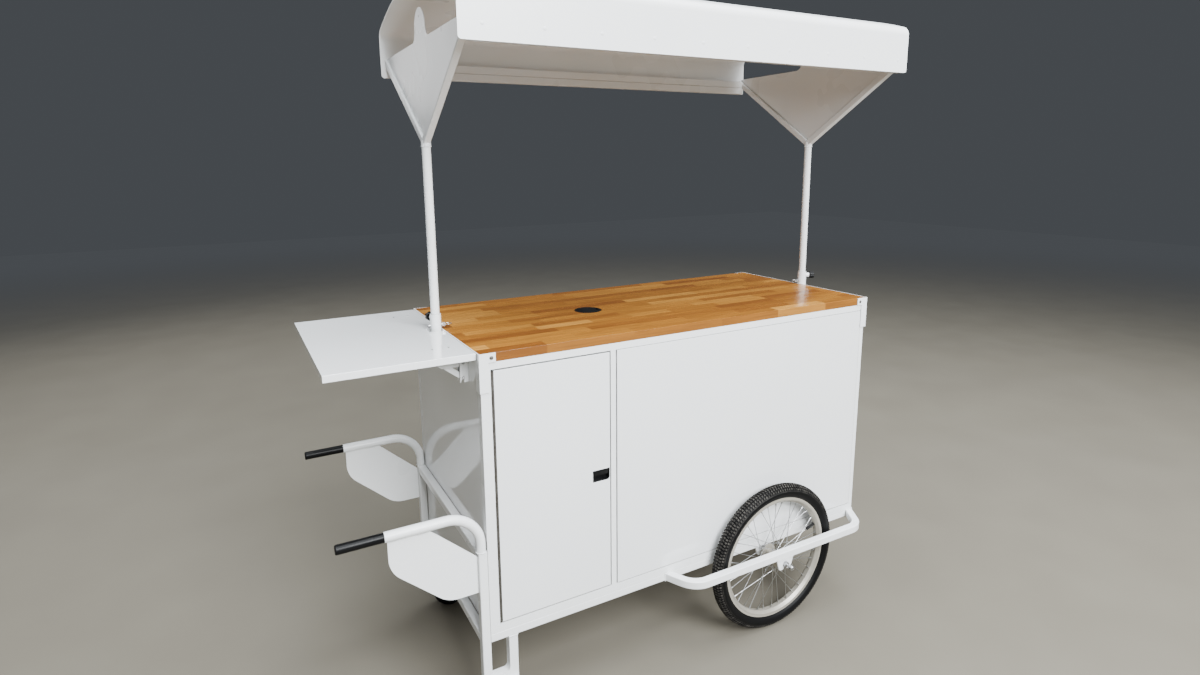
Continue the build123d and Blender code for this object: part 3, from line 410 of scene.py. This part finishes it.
# %% [markdown]
# Rims and hubs are turned aluminium that has gone dull, which makes it paler and much less like a mirror.
# A turning tool leaves rings around the axle, so this pattern depends on the distance from the axle line:
# the tree centres the coordinates on the wheel and measures the radius. The rim's brake track is rubbed
# bright.

# %% Turned aluminium
TRACK_INNER, TRACK_OUTER = 0.2055, 0.2075
finish, tree, shader = new_finish("turned_aluminium", (0.40, 0.375, 0.325), 0.42, 0.4)
flat = vectors(tree, "MULTIPLY", places(tree, offset=(-AXLE.x, 0, -AXLE.z)), (1, 0, 1))
radius = node(tree, "ShaderNodeVectorMath", {"operation": "LENGTH"}, Vector=flat).outputs["Value"]
rings = node(tree, "ShaderNodeTexNoise", {"noise_dimensions": "1D"}, W=radius, Scale=2600.0,
             Detail=2.0).outputs[0]
patches = spread(tree, noise(tree, places(tree), 40, 4), 0.35, 0.7)
dull = tint(tree, patches, (0.40, 0.375, 0.325), (0.32, 0.298, 0.256))
track = spread(tree, radius, TRACK_INNER, TRACK_OUTER)
feed(tree, shader, tint(tree, track, dull, (0.44, 0.412, 0.358)), spread(tree, rings, 0.3, 0.7, 0.34, 0.50))
bump(tree, shader, rings, 0.10, 0.0002)
FINISHES["alloy"] = finish
print(finish.name, len(tree.nodes), "nodes")

# %% [markdown]
# Rubber is never quite black. On a tyre the knobs rub on the road and turn grey, while the grooves
# between them stay dark and the walls keep their sheen. The grey of the knob tops is partly this wear
# and partly a painted highlight for their glints. The tree finds how high a place stands above the
# middle of the tyre's round section, and how far round towards the crown it lies. High places near the
# crown are lighter, as wear and as painted highlight.

# %% Tyre rubber
TYRE_MIDDLE = 0.233
GROOVE_HEIGHT, KNOB_TOP = 0.0222, 0.0240
finish, tree, shader = new_finish("tyre_rubber", (0.007, 0.007, 0.0075), 0.6)
shader.inputs["Specular IOR Level"].default_value = 0.12
where = places(tree, offset=(-AXLE.x, 0, -AXLE.z))
flat = vectors(tree, "MULTIPLY", where, (1, 0, 1))
radius = node(tree, "ShaderNodeVectorMath", {"operation": "LENGTH"}, Vector=flat).outputs["Value"]
sideways = maths(tree, "ABSOLUTE", node(tree, "ShaderNodeSeparateXYZ", Vector=where).outputs["Y"])
sideways = maths(tree, "SUBTRACT", sideways, WHEEL_Y["back"] / 1000)
outward = maths(tree, "SUBTRACT", radius, TYRE_MIDDLE)
stand = node(tree, "ShaderNodeCombineXYZ", X=outward, Y=sideways).outputs[0]
stand = node(tree, "ShaderNodeVectorMath", {"operation": "LENGTH"}, Vector=stand).outputs["Value"]
crown = spread(tree, maths(tree, "DIVIDE", outward, stand), 0.15, 0.30)
worn = maths(tree, "MULTIPLY", spread(tree, stand, GROOVE_HEIGHT, KNOB_TOP), crown)
patches = spread(tree, noise(tree, places(tree), 60, 5, 0.7), 0.42, 0.68, 0.15, 1.0)
# Knob tops turn grey: partly wear, partly a painted highlight for their glints.
dusty = tint(tree, maths(tree, "MULTIPLY", worn, patches), (0.003, 0.003, 0.0033), (0.085, 0.079, 0.070))
feed(tree, shader, dusty, spread(tree, worn, 0.0, 1.0, 0.50, 0.82))
bump(tree, shader, noise(tree, places(tree), 700, 3), 0.2, 0.0003)
FINISHES["wheel_tyre"] = finish
print(finish.name, len(tree.nodes), "nodes")

# %% [markdown]
# The other dark pieces differ only in a few numbers: the grips are shiny from hands, the plastic has a
# fine grain, and the castors are grey with wear. One function makes all of them.

# %% Rubber and black plastic
def dark_finish(slot, dusty, amount, roughness, grain_scale, grain_strength):
    """Black rubber or plastic with a little dust and a fine grain."""
    black = (0.004, 0.004, 0.0044)
    finish, tree, shader = new_finish(slot, black, roughness)
    shader.inputs["Specular IOR Level"].default_value = 0.12
    where = places(tree)
    patches = spread(tree, noise(tree, where, 22, 6, 0.65), 0.42, 0.74)
    color = tint(tree, maths(tree, "MULTIPLY", patches, amount), black, (dusty, dusty, dusty))
    feed(tree, shader, color, spread(tree, patches, 0.0, 1.0, roughness - 0.06, roughness + 0.10))
    bump(tree, shader, noise(tree, where, grain_scale, 3), grain_strength, 0.0002)
    FINISHES[slot] = finish


dark_finish("tube_rubber", 0.06, 0.3, 0.55, 300, 0.2)
dark_finish("castor_rubber", 0.10, 0.5, 0.6, 500, 0.2)
dark_finish("grip_rubber", 0.008, 0.3, 0.34, 900, 0.05)
dark_finish("black_plastic", 0.04, 0.25, 0.36, 1100, 0.1)
print("finishes", sorted(FINISHES))

# %% [markdown]
# The floor has a mottle so faint that it stays plain. A studio floor runs up into its backdrop without an
# edge. Here the floor does the same by its finish: with the distance from the cart it turns from pale paint
# to the glow of the surroundings, so no horizon cuts through the picture.

# %% Floor that fades into the backdrop
FADE_START, FADE_END = 3.5, 13.0
finish, tree, shader = new_finish("pale_floor", (0.16, 0.146, 0.118), 0.8)
shader.inputs["Specular IOR Level"].default_value = 0.1
shader.inputs["Emission Color"].default_value = (*BACKDROP, 1)
where = places(tree)
mottle = spread(tree, noise(tree, where, 3, 5), 0.3, 0.7)
pale = tint(tree, mottle, (0.154, 0.140, 0.113), (0.166, 0.152, 0.123))
away = node(tree, "ShaderNodeVectorMath", {"operation": "LENGTH"}, Vector=where).outputs["Value"]
fade = node(tree, "ShaderNodeMapRange", {"interpolation_type": "SMOOTHSTEP"}, i0=away, i1=FADE_START,
            i2=FADE_END).outputs[0]
feed(tree, shader, tint(tree, fade, pale, (0, 0, 0)), spread(tree, mottle, 0.0, 1.0, 0.75, 0.85))
tree.links.new(maths(tree, "MULTIPLY", fade, BACKDROP_STRENGTH), shader.inputs["Emission Strength"])
floor_mesh.materials.append(finish)
print(finish.name, len(tree.nodes), "nodes")

# %% [markdown]
# Every solid of the part has a material slot. The record says which finish it takes, so one loop dresses
# them all. Only the three pieces of the hinge are darker than the other steel, partly as painted shade
# for the gap they sit in.

# %% Dress the solids
SLOT_OF = {entry["node"]: entry["material_slot"] for entry in frame["record"]["subparts"]}
for name, solid in NODES.items():
    solid.data.materials.clear()
    # The hinge's darker finish is partly painted shade for its gap.
    solid.data.materials.append(FINISHES["dark_steel" if name.startswith("hinge") else SLOT_OF[name]])
print("dressed", len(NODES), "solids")

# %% [markdown]
# Small things that repeat come from Geometry Nodes: a few points or lines go in, and a tree puts a copy
# of one shape on each. Four helpers do the common work. One opens a tree with named sizes and one closes
# it. One hands a finished mesh to the body it moves with. The last runs a tree on its points and keeps the
# result as a plain mesh.

# %% Helpers for repeated pieces
def new_recipe(name, **sizes):
    """A tree with a geometry input, one input for each named size, and a geometry output."""
    tree = bpy.data.node_groups.new(name, "GeometryNodeTree")
    tree.interface.new_socket("Geometry", in_out="INPUT", socket_type="NodeSocketGeometry")
    for key, value in sizes.items():
        kind = "NodeSocketInt" if isinstance(value, int) else "NodeSocketFloat"
        kind = "NodeSocketVector" if isinstance(value, Vector) else kind
        tree.interface.new_socket(key, in_out="INPUT", socket_type=kind).default_value = value
    tree.interface.new_socket("Geometry", in_out="OUTPUT", socket_type="NodeSocketGeometry")
    return tree, node(tree, "NodeGroupInput").outputs


def end_recipe(tree, geometry, slot):
    """Makes the copies real, gives them their finish and sends them out."""
    real = node(tree, "GeometryNodeRealizeInstances", Geometry=geometry)
    smooth = node(tree, "GeometryNodeSetShadeSmooth", Geometry=real.outputs[0])
    dressed = node(tree, "GeometryNodeSetMaterial", Geometry=smooth.outputs[0], Material=FINISHES[slot])
    node(tree, "NodeGroupOutput", Geometry=dressed.outputs[0])
    return tree


def keep(name, mesh, body, slot, replaced=()):
    """A finished mesh becomes a piece: it rides on a body, names its slot and may stand for solids."""
    if not mesh.materials:
        mesh.materials.append(FINISHES[slot])
    piece = bpy.data.objects.new(name, mesh)
    bpy.context.collection.objects.link(piece)
    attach(piece, body)
    if replaced:
        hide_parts(*replaced)
    print(name, len(mesh.polygons), "faces on", body)


def grow(name, tree, slot, body, points=((0, 0, 0),), edges=(), aims=(), crease=35, **sizes):
    """Runs a tree on points and lines and keeps what it makes as a plain mesh on one body."""
    seed = bpy.data.meshes.new(name + "_seed")
    seed.from_pydata([tuple(p) for p in points], [tuple(e) for e in edges], [])
    if aims:
        aim = seed.attributes.new("aim", "FLOAT_VECTOR", "POINT")
        aim.data.foreach_set("vector", [c for a in aims for c in a])
    holder = bpy.data.objects.new(name + "_seed", seed)
    bpy.context.collection.objects.link(holder)
    modifier = holder.modifiers.new("recipe", "NODES")
    modifier.node_group = tree
    for item in tree.interface.items_tree:
        if item.in_out == "INPUT" and item.name in sizes:
            modifier[item.identifier] = sizes[item.name]
    graph = bpy.context.evaluated_depsgraph_get()
    mesh = bpy.data.meshes.new_from_object(holder.evaluated_get(graph))
    mesh.name = name
    mesh.set_sharp_from_angle(angle=math.radians(crease))
    holder.modifiers.clear()
    bpy.data.objects.remove(holder)
    keep(name, mesh, body, slot)


print("recipe helpers are ready")

# %% [markdown]
# The wheels carry fat tyres with a close pattern of small knobs. A tyre is a turned shape, so its section
# is drawn once and swept around the axle: a round casing whose crown lies lower by most of a knob's
# height, so that the knobs end at the size of the real tyre, with two fine moulded rings on each wall.

# %% Tyre casings
TYRE_ROUND = 0.024
TYRE_WALL = 0.004
TYRE_STEPS = 160
BEAD, INNER_BEAD = 146, 140
CROWN_DROP = 0.0032
CROWN_EDGE, CROWN_BLEND = 76, 8
RING_RISE = 0.0005
RINGS_AT = (98, 122)


def turned(name, section, centre, axis, steps, closed):
    """Points of (distance from an axis, place along it) swept around it. A closed section joins its ends."""
    axis = Vector(axis).normalized()
    side = axis.orthogonal().normalized()
    other = axis.cross(side)
    build = bmesh.new()
    rings = []
    for step in range(steps):
        angle = 2 * math.pi * step / steps
        out = math.cos(angle) * side + math.sin(angle) * other
        rings.append([build.verts.new(centre + out * reach + axis * place) for reach, place in section])
    count = len(section)
    for ring, following in zip(rings, rings[1:] + rings[:1]):
        for k in range(count if closed else count - 1):
            after = (k + 1) % count
            build.faces.new((ring[k], ring[after], following[after], following[k]))
    bmesh.ops.remove_doubles(build, verts=build.verts, dist=1e-6)
    bmesh.ops.recalc_face_normals(build, faces=build.faces)
    mesh = bpy.data.meshes.new(name)
    build.to_mesh(mesh)
    build.free()
    mesh.shade_smooth()
    mesh.set_sharp_from_angle(angle=math.radians(40))
    return mesh


def tyre_section():
    """Points of the tyre's wall, outside from bead to bead and back along the inside."""
    points = []
    for degrees in range(-BEAD, BEAD + 1, 4):
        angle = math.radians(degrees)
        crown = max(0.0, min(1.0, (CROWN_EDGE - abs(degrees)) / CROWN_BLEND))
        ring = RING_RISE if abs(degrees) in RINGS_AT else 0.0
        reach = TYRE_ROUND - CROWN_DROP * crown + ring
        points.append((TYRE_MIDDLE + reach * math.cos(angle), reach * math.sin(angle)))
    reach = TYRE_ROUND - TYRE_WALL
    for degrees in range(INNER_BEAD, -INNER_BEAD - 1, -20):
        angle = math.radians(degrees)
        points.append((TYRE_MIDDLE + reach * math.cos(angle), reach * math.sin(angle)))
    return points


for side, wheel_y in WHEEL_Y.items():
    middle = at(WHEEL_X, wheel_y, AXLE_Z)
    casing = turned(f"tyre_casing_{side}", tyre_section(), middle, (0, 1, 0), TYRE_STEPS, True)
    keep(f"tyre_casing_{side}", casing, f"wheel_{side}", "wheel_tyre", [f"wheel_tyre_{side}"])

# %% [markdown]
# Each knob is a low block that narrows upwards. The knobs stand in rows around the tyre, every second row
# moved on by a part of a step, and they lean to the left and right of the crown, as on a tyre that has to
# shed mud. Modelling hundreds of knobs by hand would be slow to change. The tree works out every place
# from the knob's number, so row count, knob count and sizes stay plain inputs.

# %% Places of the tread knobs
tree, size = new_recipe("tread_knobs", **{
    "Centre": Vector((0, 0, 0)), "Middle Radius": TYRE_MIDDLE, "Section Radius": TYRE_ROUND - CROWN_DROP,
    "Around": 152, "Rows": 6, "Row Angle": math.radians(24), "Knob Length": 0.0062, "Knob Width": 0.0084,
    "Knob Height": 0.0036, "Lean": math.radians(14), "Stagger": 0.2})
number = node(tree, "GeometryNodeInputIndex").outputs[0]
row = maths(tree, "FLOOR", maths(tree, "DIVIDE", number, size["Around"]))
stagger = maths(tree, "MULTIPLY", maths(tree, "MODULO", row, 2.0), size["Stagger"])
column = maths(tree, "ADD", maths(tree, "MODULO", number, size["Around"]), stagger)
around = maths(tree, "MULTIPLY", maths(tree, "DIVIDE", column, size["Around"]), 2 * math.pi)
middle_row = maths(tree, "MULTIPLY", maths(tree, "SUBTRACT", size["Rows"], 1.0), 0.5)
tilt = maths(tree, "MULTIPLY", maths(tree, "SUBTRACT", row, middle_row), size["Row Angle"])
cosine, sine = maths(tree, "COSINE", around), maths(tree, "SINE", around)
outward = node(tree, "ShaderNodeCombineXYZ", X=cosine, Z=sine).outputs[0]
forward = node(tree, "ShaderNodeCombineXYZ", X=maths(tree, "MULTIPLY", sine, -1.0), Z=cosine).outputs[0]
aside = node(tree, "ShaderNodeCombineXYZ", Y=maths(tree, "SINE", tilt)).outputs[0]
normal = vectors(tree, "ADD", scaled(tree, outward, maths(tree, "COSINE", tilt)), aside)
ring_place = vectors(tree, "ADD", size["Centre"], scaled(tree, outward, size["Middle Radius"]))
spot = vectors(tree, "ADD", ring_place, scaled(tree, normal, size["Section Radius"]))
total = maths(tree, "MULTIPLY", size["Around"], size["Rows"])
points = node(tree, "GeometryNodePoints", Count=total, Position=spot).outputs[0]
print(tree.name, "places its knobs with", len(tree.nodes), "nodes")

# %% [markdown]
# The knob itself is a four-sided cone with its tip cut off. Its base is made one unit wide, so that the
# named length and width are the real ones. The base starts a little inside the casing, so no gap shows.

# %% Tread knobs
BASE_RADIUS = math.sqrt(0.5)
TOP_RADIUS = 0.78 * BASE_RADIUS
KNOB_SINK = -0.0004
knob = node(tree, "GeometryNodeMeshCone", Vertices=4, Depth=1.0, **{
    "Radius Top": TOP_RADIUS, "Radius Bottom": BASE_RADIUS}).outputs[0]
knob = node(tree, "GeometryNodeTransform", Geometry=knob, Rotation=(0, 0, math.pi / 4)).outputs[0]
wide = node(tree, "ShaderNodeCombineXYZ", X=size["Knob Length"], Y=size["Knob Width"], Z=size["Knob Height"])
knob = node(tree, "GeometryNodeTransform", Geometry=knob, Scale=wide.outputs[0],
            Translation=(0, 0, KNOB_SINK))


def faced(tree, facing, twist):
    """A rotation with a further turn about its own upright."""
    about = node(tree, "FunctionNodeAxisAngleToRotation", Axis=(0, 0, 1), Angle=twist)
    turned_on = node(tree, "FunctionNodeRotateRotation", {"rotation_space": "LOCAL"}, Rotation=facing,
                     i1=about.outputs[0])
    return turned_on.outputs[0]


axes = {"primary_axis": "Z", "secondary_axis": "X"}
stand = node(tree, "FunctionNodeAxesToRotation", axes, i0=normal, i1=forward)
lean = maths(tree, "MULTIPLY", maths(tree, "SIGN", tilt), size["Lean"])
copies = node(tree, "GeometryNodeInstanceOnPoints", Points=points, Instance=knob.outputs[0],
              Rotation=faced(tree, stand.outputs[0], lean))
tread = end_recipe(tree, copies.outputs[0], "wheel_tyre")
for side, wheel_y in WHEEL_Y.items():
    grow(f"tread_knobs_{side}", tread, "wheel_tyre", f"wheel_{side}", Centre=at(WHEEL_X, wheel_y, AXLE_Z))

# %% [markdown]
# Screws hold the worktop's caps and the shelf. One pan head with a cross recess serves all of them: a low
# cone with two slots cut out.

# %% Screw recipe
tree, size = new_recipe("cross_screws", **{
    "Head Radius": 0.0042, "Head Height": 0.0022, "Slot Width": 0.0011})
head = node(tree, "GeometryNodeMeshCone", Vertices=14, Depth=size["Head Height"], **{
    "Radius Bottom": size["Head Radius"], "Radius Top": maths(tree, "MULTIPLY", size["Head Radius"], 0.62)})
slot_length = maths(tree, "MULTIPLY", size["Head Radius"], 1.1)
lifted = node(tree, "ShaderNodeCombineXYZ", Z=size["Head Height"]).outputs[0]
slots = node(tree, "GeometryNodeJoinGeometry")
for long_way, short_way in (("X", "Y"), ("Y", "X")):
    measures = {long_way: slot_length, short_way: size["Slot Width"], "Z": size["Head Height"]}
    bar = node(tree, "GeometryNodeMeshCube", Size=node(tree, "ShaderNodeCombineXYZ", **measures).outputs[0])
    bar = node(tree, "GeometryNodeTransform", Geometry=bar.outputs[0], Translation=lifted)
    tree.links.new(bar.outputs[0], slots.inputs[0])
cut = node(tree, "GeometryNodeMeshBoolean", {"operation": "DIFFERENCE"}, i0=head.outputs[0],
           i1=slots.outputs[0])
print(tree.name, "shapes its head with", len(tree.nodes), "nodes")

# %% [markdown]
# Each point carries the direction that its head faces, and a fixed seed turns every cross a different way.
# The screws in the worktop's caps are larger than those in the shelf, and they have gone dark.

# %% Screws
SCREW_SEED, BOLT_SEED, RIVET_SEED = 7, 3, 5
FRONT, BACK = (0, -1, 0), (0, 1, 0)
UP, DOWN = (0, 0, 1), (0, 0, -1)
CAP_FACE, CAP_SCREW_X, CAP_SCREW_Z = 325, (31, 1394), 1090
SHELF_TOP, SHELF_SCREW_X, SHELF_SCREW_Y = 1103, (-48, -92), (-218, 218)


def on_points(tree, size, shape, seed):
    """Copies of a shape on the input's points, each facing its aim and turned by chance."""
    aim = node(tree, "GeometryNodeInputNamedAttribute", {"data_type": "FLOAT_VECTOR"}, Name="aim").outputs[0]
    facing = node(tree, "FunctionNodeAlignRotationToVector", {"axis": "Z"}, Vector=aim).outputs[0]
    chance = node(tree, "FunctionNodeRandomValue", {"data_type": "FLOAT"}, i2=0.0, i3=3.1, Seed=seed)
    seeds = node(tree, "GeometryNodeMeshToPoints", Mesh=size["Geometry"])
    return node(tree, "GeometryNodeInstanceOnPoints", Points=seeds.outputs[0], Instance=shape,
                Rotation=faced(tree, facing, chance.outputs[1])).outputs[0]


def fixings(name, tree, slot, body, listed, **sizes):
    """One kind of fixing at listed places, each with the direction that it faces."""
    points = [at(*place) for place, _ in listed]
    grow(name, tree, slot, body, points, aims=[way for _, way in listed], **sizes)


screw = end_recipe(tree, on_points(tree, size, cut.outputs[0], SCREW_SEED), "zinc")
cap_screws = []
for y, way in ((-CAP_FACE, FRONT), (CAP_FACE, BACK)):
    cap_screws += [((x, y, CAP_SCREW_Z), way) for x in CAP_SCREW_X]
fixings("cap_screws", screw, "zinc", "cart", cap_screws, **{"Head Radius": 0.0056, "Slot Width": 0.0014})
darkened = bpy.data.objects["cap_screws"].data.materials
for index in range(len(darkened)):
    darkened[index] = FINISHES["dark_steel"]
shelf_screws = [((x, y, SHELF_TOP), UP) for x in SHELF_SCREW_X for y in SHELF_SCREW_Y]
fixings("shelf_screws", screw, "zinc", "shelf", shelf_screws)

# %% [markdown]
# Hexagon bolts hold the castor plates to their pads, with heads above and nuts below. A bolt is a
# six-sided block on a round washer, so two cones joined together are enough.

# %% Hexagon bolts
tree, size = new_recipe("hexagon_bolts", **{
    "Head Radius": 0.0047, "Head Height": 0.0040, "Washer Radius": 0.0064, "Washer Height": 0.0010})
head_top = maths(tree, "MULTIPLY", size["Head Radius"], 0.93)
head = node(tree, "GeometryNodeMeshCone", Vertices=6, Depth=size["Head Height"], **{
    "Radius Bottom": size["Head Radius"], "Radius Top": head_top})
washer_top = maths(tree, "MULTIPLY", size["Washer Radius"], 0.94)
washer = node(tree, "GeometryNodeMeshCone", Vertices=16, Depth=size["Washer Height"], **{
    "Radius Bottom": size["Washer Radius"], "Radius Top": washer_top})
both = node(tree, "GeometryNodeJoinGeometry")
for shape in (head, washer):
    tree.links.new(shape.outputs[0], both.inputs[0])
bolt = end_recipe(tree, on_points(tree, size, both.outputs[0], BOLT_SEED), "zinc")
PLATE_BOTTOM = 135
BOLT_X, BOLT_ASIDE = (6.5, 46.5), 22
castor_bolts = []
for middle_y in (-TUBE_MIDDLE, TUBE_MIDDLE):
    for x in BOLT_X:
        for y in (middle_y - BOLT_ASIDE, middle_y + BOLT_ASIDE):
            castor_bolts += [((x, y, PAD_TOP), UP), ((x, y, PLATE_BOTTOM), DOWN)]
fixings("castor_bolts", bolt, "zinc", "cart", castor_bolts)

# %% [markdown]
# The roof's sheet is fixed to its hem tubes with flat rivets that were painted over, so they show only as
# faint round marks along the valance. A rivet is the top of a flattened ball.

# %% Valance rivets
tree, size = new_recipe("painted_rivets", **{"Radius": 0.0050, "Flatness": 0.16})
ball = node(tree, "GeometryNodeMeshUVSphere", Segments=12, Rings=6, Radius=size["Radius"]).outputs[0]
flat = node(tree, "ShaderNodeCombineXYZ", X=1.0, Y=1.0, Z=size["Flatness"]).outputs[0]
dome = node(tree, "GeometryNodeTransform", Geometry=ball, Scale=flat).outputs[0]
rivet = end_recipe(tree, on_points(tree, size, dome, RIVET_SEED), "white_frame")
RIVETS, FIRST_RIVET, RIVET_RUN = 10, 15, 1396
VALANCE_FACE, RIVET_Z = 394, 1889.5
rivet_x = [FIRST_RIVET + k * (RIVET_RUN / (RIVETS - 1)) for k in range(RIVETS)]
valance = [((x, -VALANCE_FACE, RIVET_Z), FRONT) for x in rivet_x]
valance += [((x, VALANCE_FACE, RIVET_Z), BACK) for x in rivet_x]
fixings("valance_rivets", rivet, "white_frame", "canopy", valance)

# %% [markdown]
# Welds join the tubes. A welder lays one small molten drop beside the next, so a bead is a row of
# flattened drops that overlap, each a little larger or smaller than the last. The lines below follow the
# joints, and the tree drops the beads along them.

# %% Weld recipe
tree, size = new_recipe("weld_beads", **{"Drop Radius": 0.0022, "Drop Pitch": 0.0019})
lines = node(tree, "GeometryNodeMeshToCurve", Mesh=size["Geometry"])
beads = node(tree, "GeometryNodeCurveToPoints", {"mode": "LENGTH"}, Curve=lines.outputs[0],
             Length=size["Drop Pitch"])
drop = node(tree, "GeometryNodeMeshUVSphere", Segments=7, Rings=5, Radius=size["Drop Radius"])
larger = node(tree, "FunctionNodeRandomValue", {"data_type": "FLOAT"}, i2=0.80, i3=1.15, Seed=11).outputs[1]
copies = node(tree, "GeometryNodeInstanceOnPoints", Points=beads.outputs[0], Instance=drop.outputs[0],
              Rotation=beads.outputs["Rotation"], Scale=larger)
weld = end_recipe(tree, copies.outputs[0], "white_frame")


def seams(name, body, lines):
    """Weld beads along listed lines of places. A line that ends where it starts goes all the way round."""
    points, edges = [], []
    for line in lines:
        first = len(points)
        points += [at(*place) for place in line]
        edges += [(k, k + 1) for k in range(first, len(points) - 1)]
    grow(name, weld, "white_frame", body, points, edges, crease=60)


def hoop(x, y, z, radius, count=24):
    """A level ring of places."""
    angles = [2 * math.pi * k / count for k in range(count + 1)]
    return [(x + radius * math.cos(a), y + radius * math.sin(a), z) for a in angles]


def upright_box(x_low, x_high, y, z_low, z_high):
    """A square of places on an upright plane that faces the front or the back."""
    return [(x_low, y, z_low), (x_high, y, z_low), (x_high, y, z_high), (x_low, y, z_high), (x_low, y, z_low)]


print(weld.name, len(weld.nodes), "nodes")

# %% [markdown]
# On the cart, beads run round the feet of the handles, round the ends of the wheel guards, along the tops
# of the short legs and of the axle plates, and as short tacks where a handle's side plate meets its tube
# and its upright.

# %% Welds on the cart
RAIL_LOW, RAIL_HIGH, UNDER_RAIL = 275, 300, 274.6
TUBE_INNER = 297
GUARD_ENDS = ((582.2, 609.8), (1393.5, 1422.5))
LEG_NEAR, LEG_FAR, LEG_WELD_X, LEG_BAR_TOP = 53, 78, -0.3, 167
HANDLE_X, HANDLE_FOOT, HANDLE_RING = -13.8, 552.3, 13.6
UPRIGHT_X, UPRIGHT_WELD = -25, (527, 552)
DROPOUT_FACES, DROPOUT_NEAR, DROPOUT_FAR = (417, 412, 312, 307), 966, 1034
PLATE_SIDE, PLATE_TOP, PLATE_EDGE = 1.6, 650.5, -25.3
PLATE_TACKS, EDGE_TACKS, EDGE_TACK = ((-180, -162), (-250, -238)), (446, 486, 524), 12
lines = []
for side in (-1, 1):
    rail_y, tube_y, inner_y = side * HALF_DEPTH, side * TUBE_MIDDLE, side * TUBE_INNER
    lines.append(hoop(HANDLE_X, tube_y, HANDLE_FOOT, HANDLE_RING))
    lines += [upright_box(low, high, rail_y, RAIL_LOW, RAIL_HIGH) for low, high in GUARD_ENDS]
    leg_top = ((LEG_NEAR, rail_y), (LEG_FAR, rail_y), (LEG_FAR, inner_y), (LEG_NEAR, inner_y))
    lines.append([(x, y, UNDER_RAIL) for x, y in leg_top])
    leg_side = ((rail_y, PAD_TOP), (rail_y, LEG_BAR_TOP), (inner_y, LEG_BAR_TOP))
    lines.append([(LEG_WELD_X, y, z) for y, z in leg_side])
    lines.append([(UPRIGHT_X, inner_y, z) for z in UPRIGHT_WELD])
    for plate_y in DROPOUT_FACES:
        lines.append([(x, side * plate_y, UNDER_RAIL) for x in (DROPOUT_NEAR, DROPOUT_FAR)])
    for face_y in (tube_y - PLATE_SIDE, tube_y + PLATE_SIDE):
        lines += [[(x, face_y, PLATE_TOP) for x in tack] for tack in PLATE_TACKS]
        lines += [[(PLATE_EDGE, face_y, z), (PLATE_EDGE, face_y, z + EDGE_TACK)] for z in EDGE_TACKS]
seams("cart_welds", "cart", lines)

# %% [markdown]
# Under the roof, a ring closes each collar on its post, and tacks hold the gussets to the sloping tubes.
# The tubes' slope is worked out once from the apex and the skirt.

# %% Welds under the roof
APEX_Z, SKIRT_Z, SKIRT_Y = 1640, 1897, 392
POSTS_AT = (-19, 1444)
COLLAR_Z, COLLAR_RING = 1628, 12.8
YOKE_REACH, GUSSET_SIDE = 10.2, 1.8
ROOF_TACKS, ROOF_TACK = (30, 120, 210, 300), 14
slope = math.atan2(SKIRT_Z - APEX_Z, SKIRT_Y)
base_z = APEX_Z + YOKE_REACH / math.cos(slope)
lines = []
for post_x in POSTS_AT:
    lines.append(hoop(post_x, 0, COLLAR_Z, COLLAR_RING))
    for side in (-1, 1):
        for face_x in (post_x - GUSSET_SIDE, post_x + GUSSET_SIDE):
            for start in ROOF_TACKS:
                ends = (start, start + ROOF_TACK)
                lines.append([(face_x, side * y, base_z + y * math.tan(slope)) for y in ends])
seams("roof_welds", "canopy", lines)

# %% [markdown]
# Each inner tube has a valve that points from the rim to the hub. It is a turned piece: a rubber foot, a
# stem and a cap. The sections start and end on the axis, so the shape is closed.

# %% Tyre valves
VALVE_TURN = math.radians(20)
VALVE_STEPS = 14
RIM_INNER = 0.195
valve_section = [(0.0, 0.0), (0.0055, 0.0), (0.0050, 0.004), (0.0037, 0.007), (0.0037, 0.022),
                 (0.0043, 0.023), (0.0043, 0.033), (0.0032, 0.035), (0.0, 0.035)]
inward = -Vector((math.cos(VALVE_TURN), 0, math.sin(VALVE_TURN)))
for side, wheel_y in WHEEL_Y.items():
    foot = at(WHEEL_X, wheel_y, AXLE_Z) - inward * RIM_INNER
    valve = turned(f"tyre_valve_{side}", valve_section, foot, inward, VALVE_STEPS, False)
    keep(f"tyre_valve_{side}", valve, f"wheel_{side}", "tube_rubber")
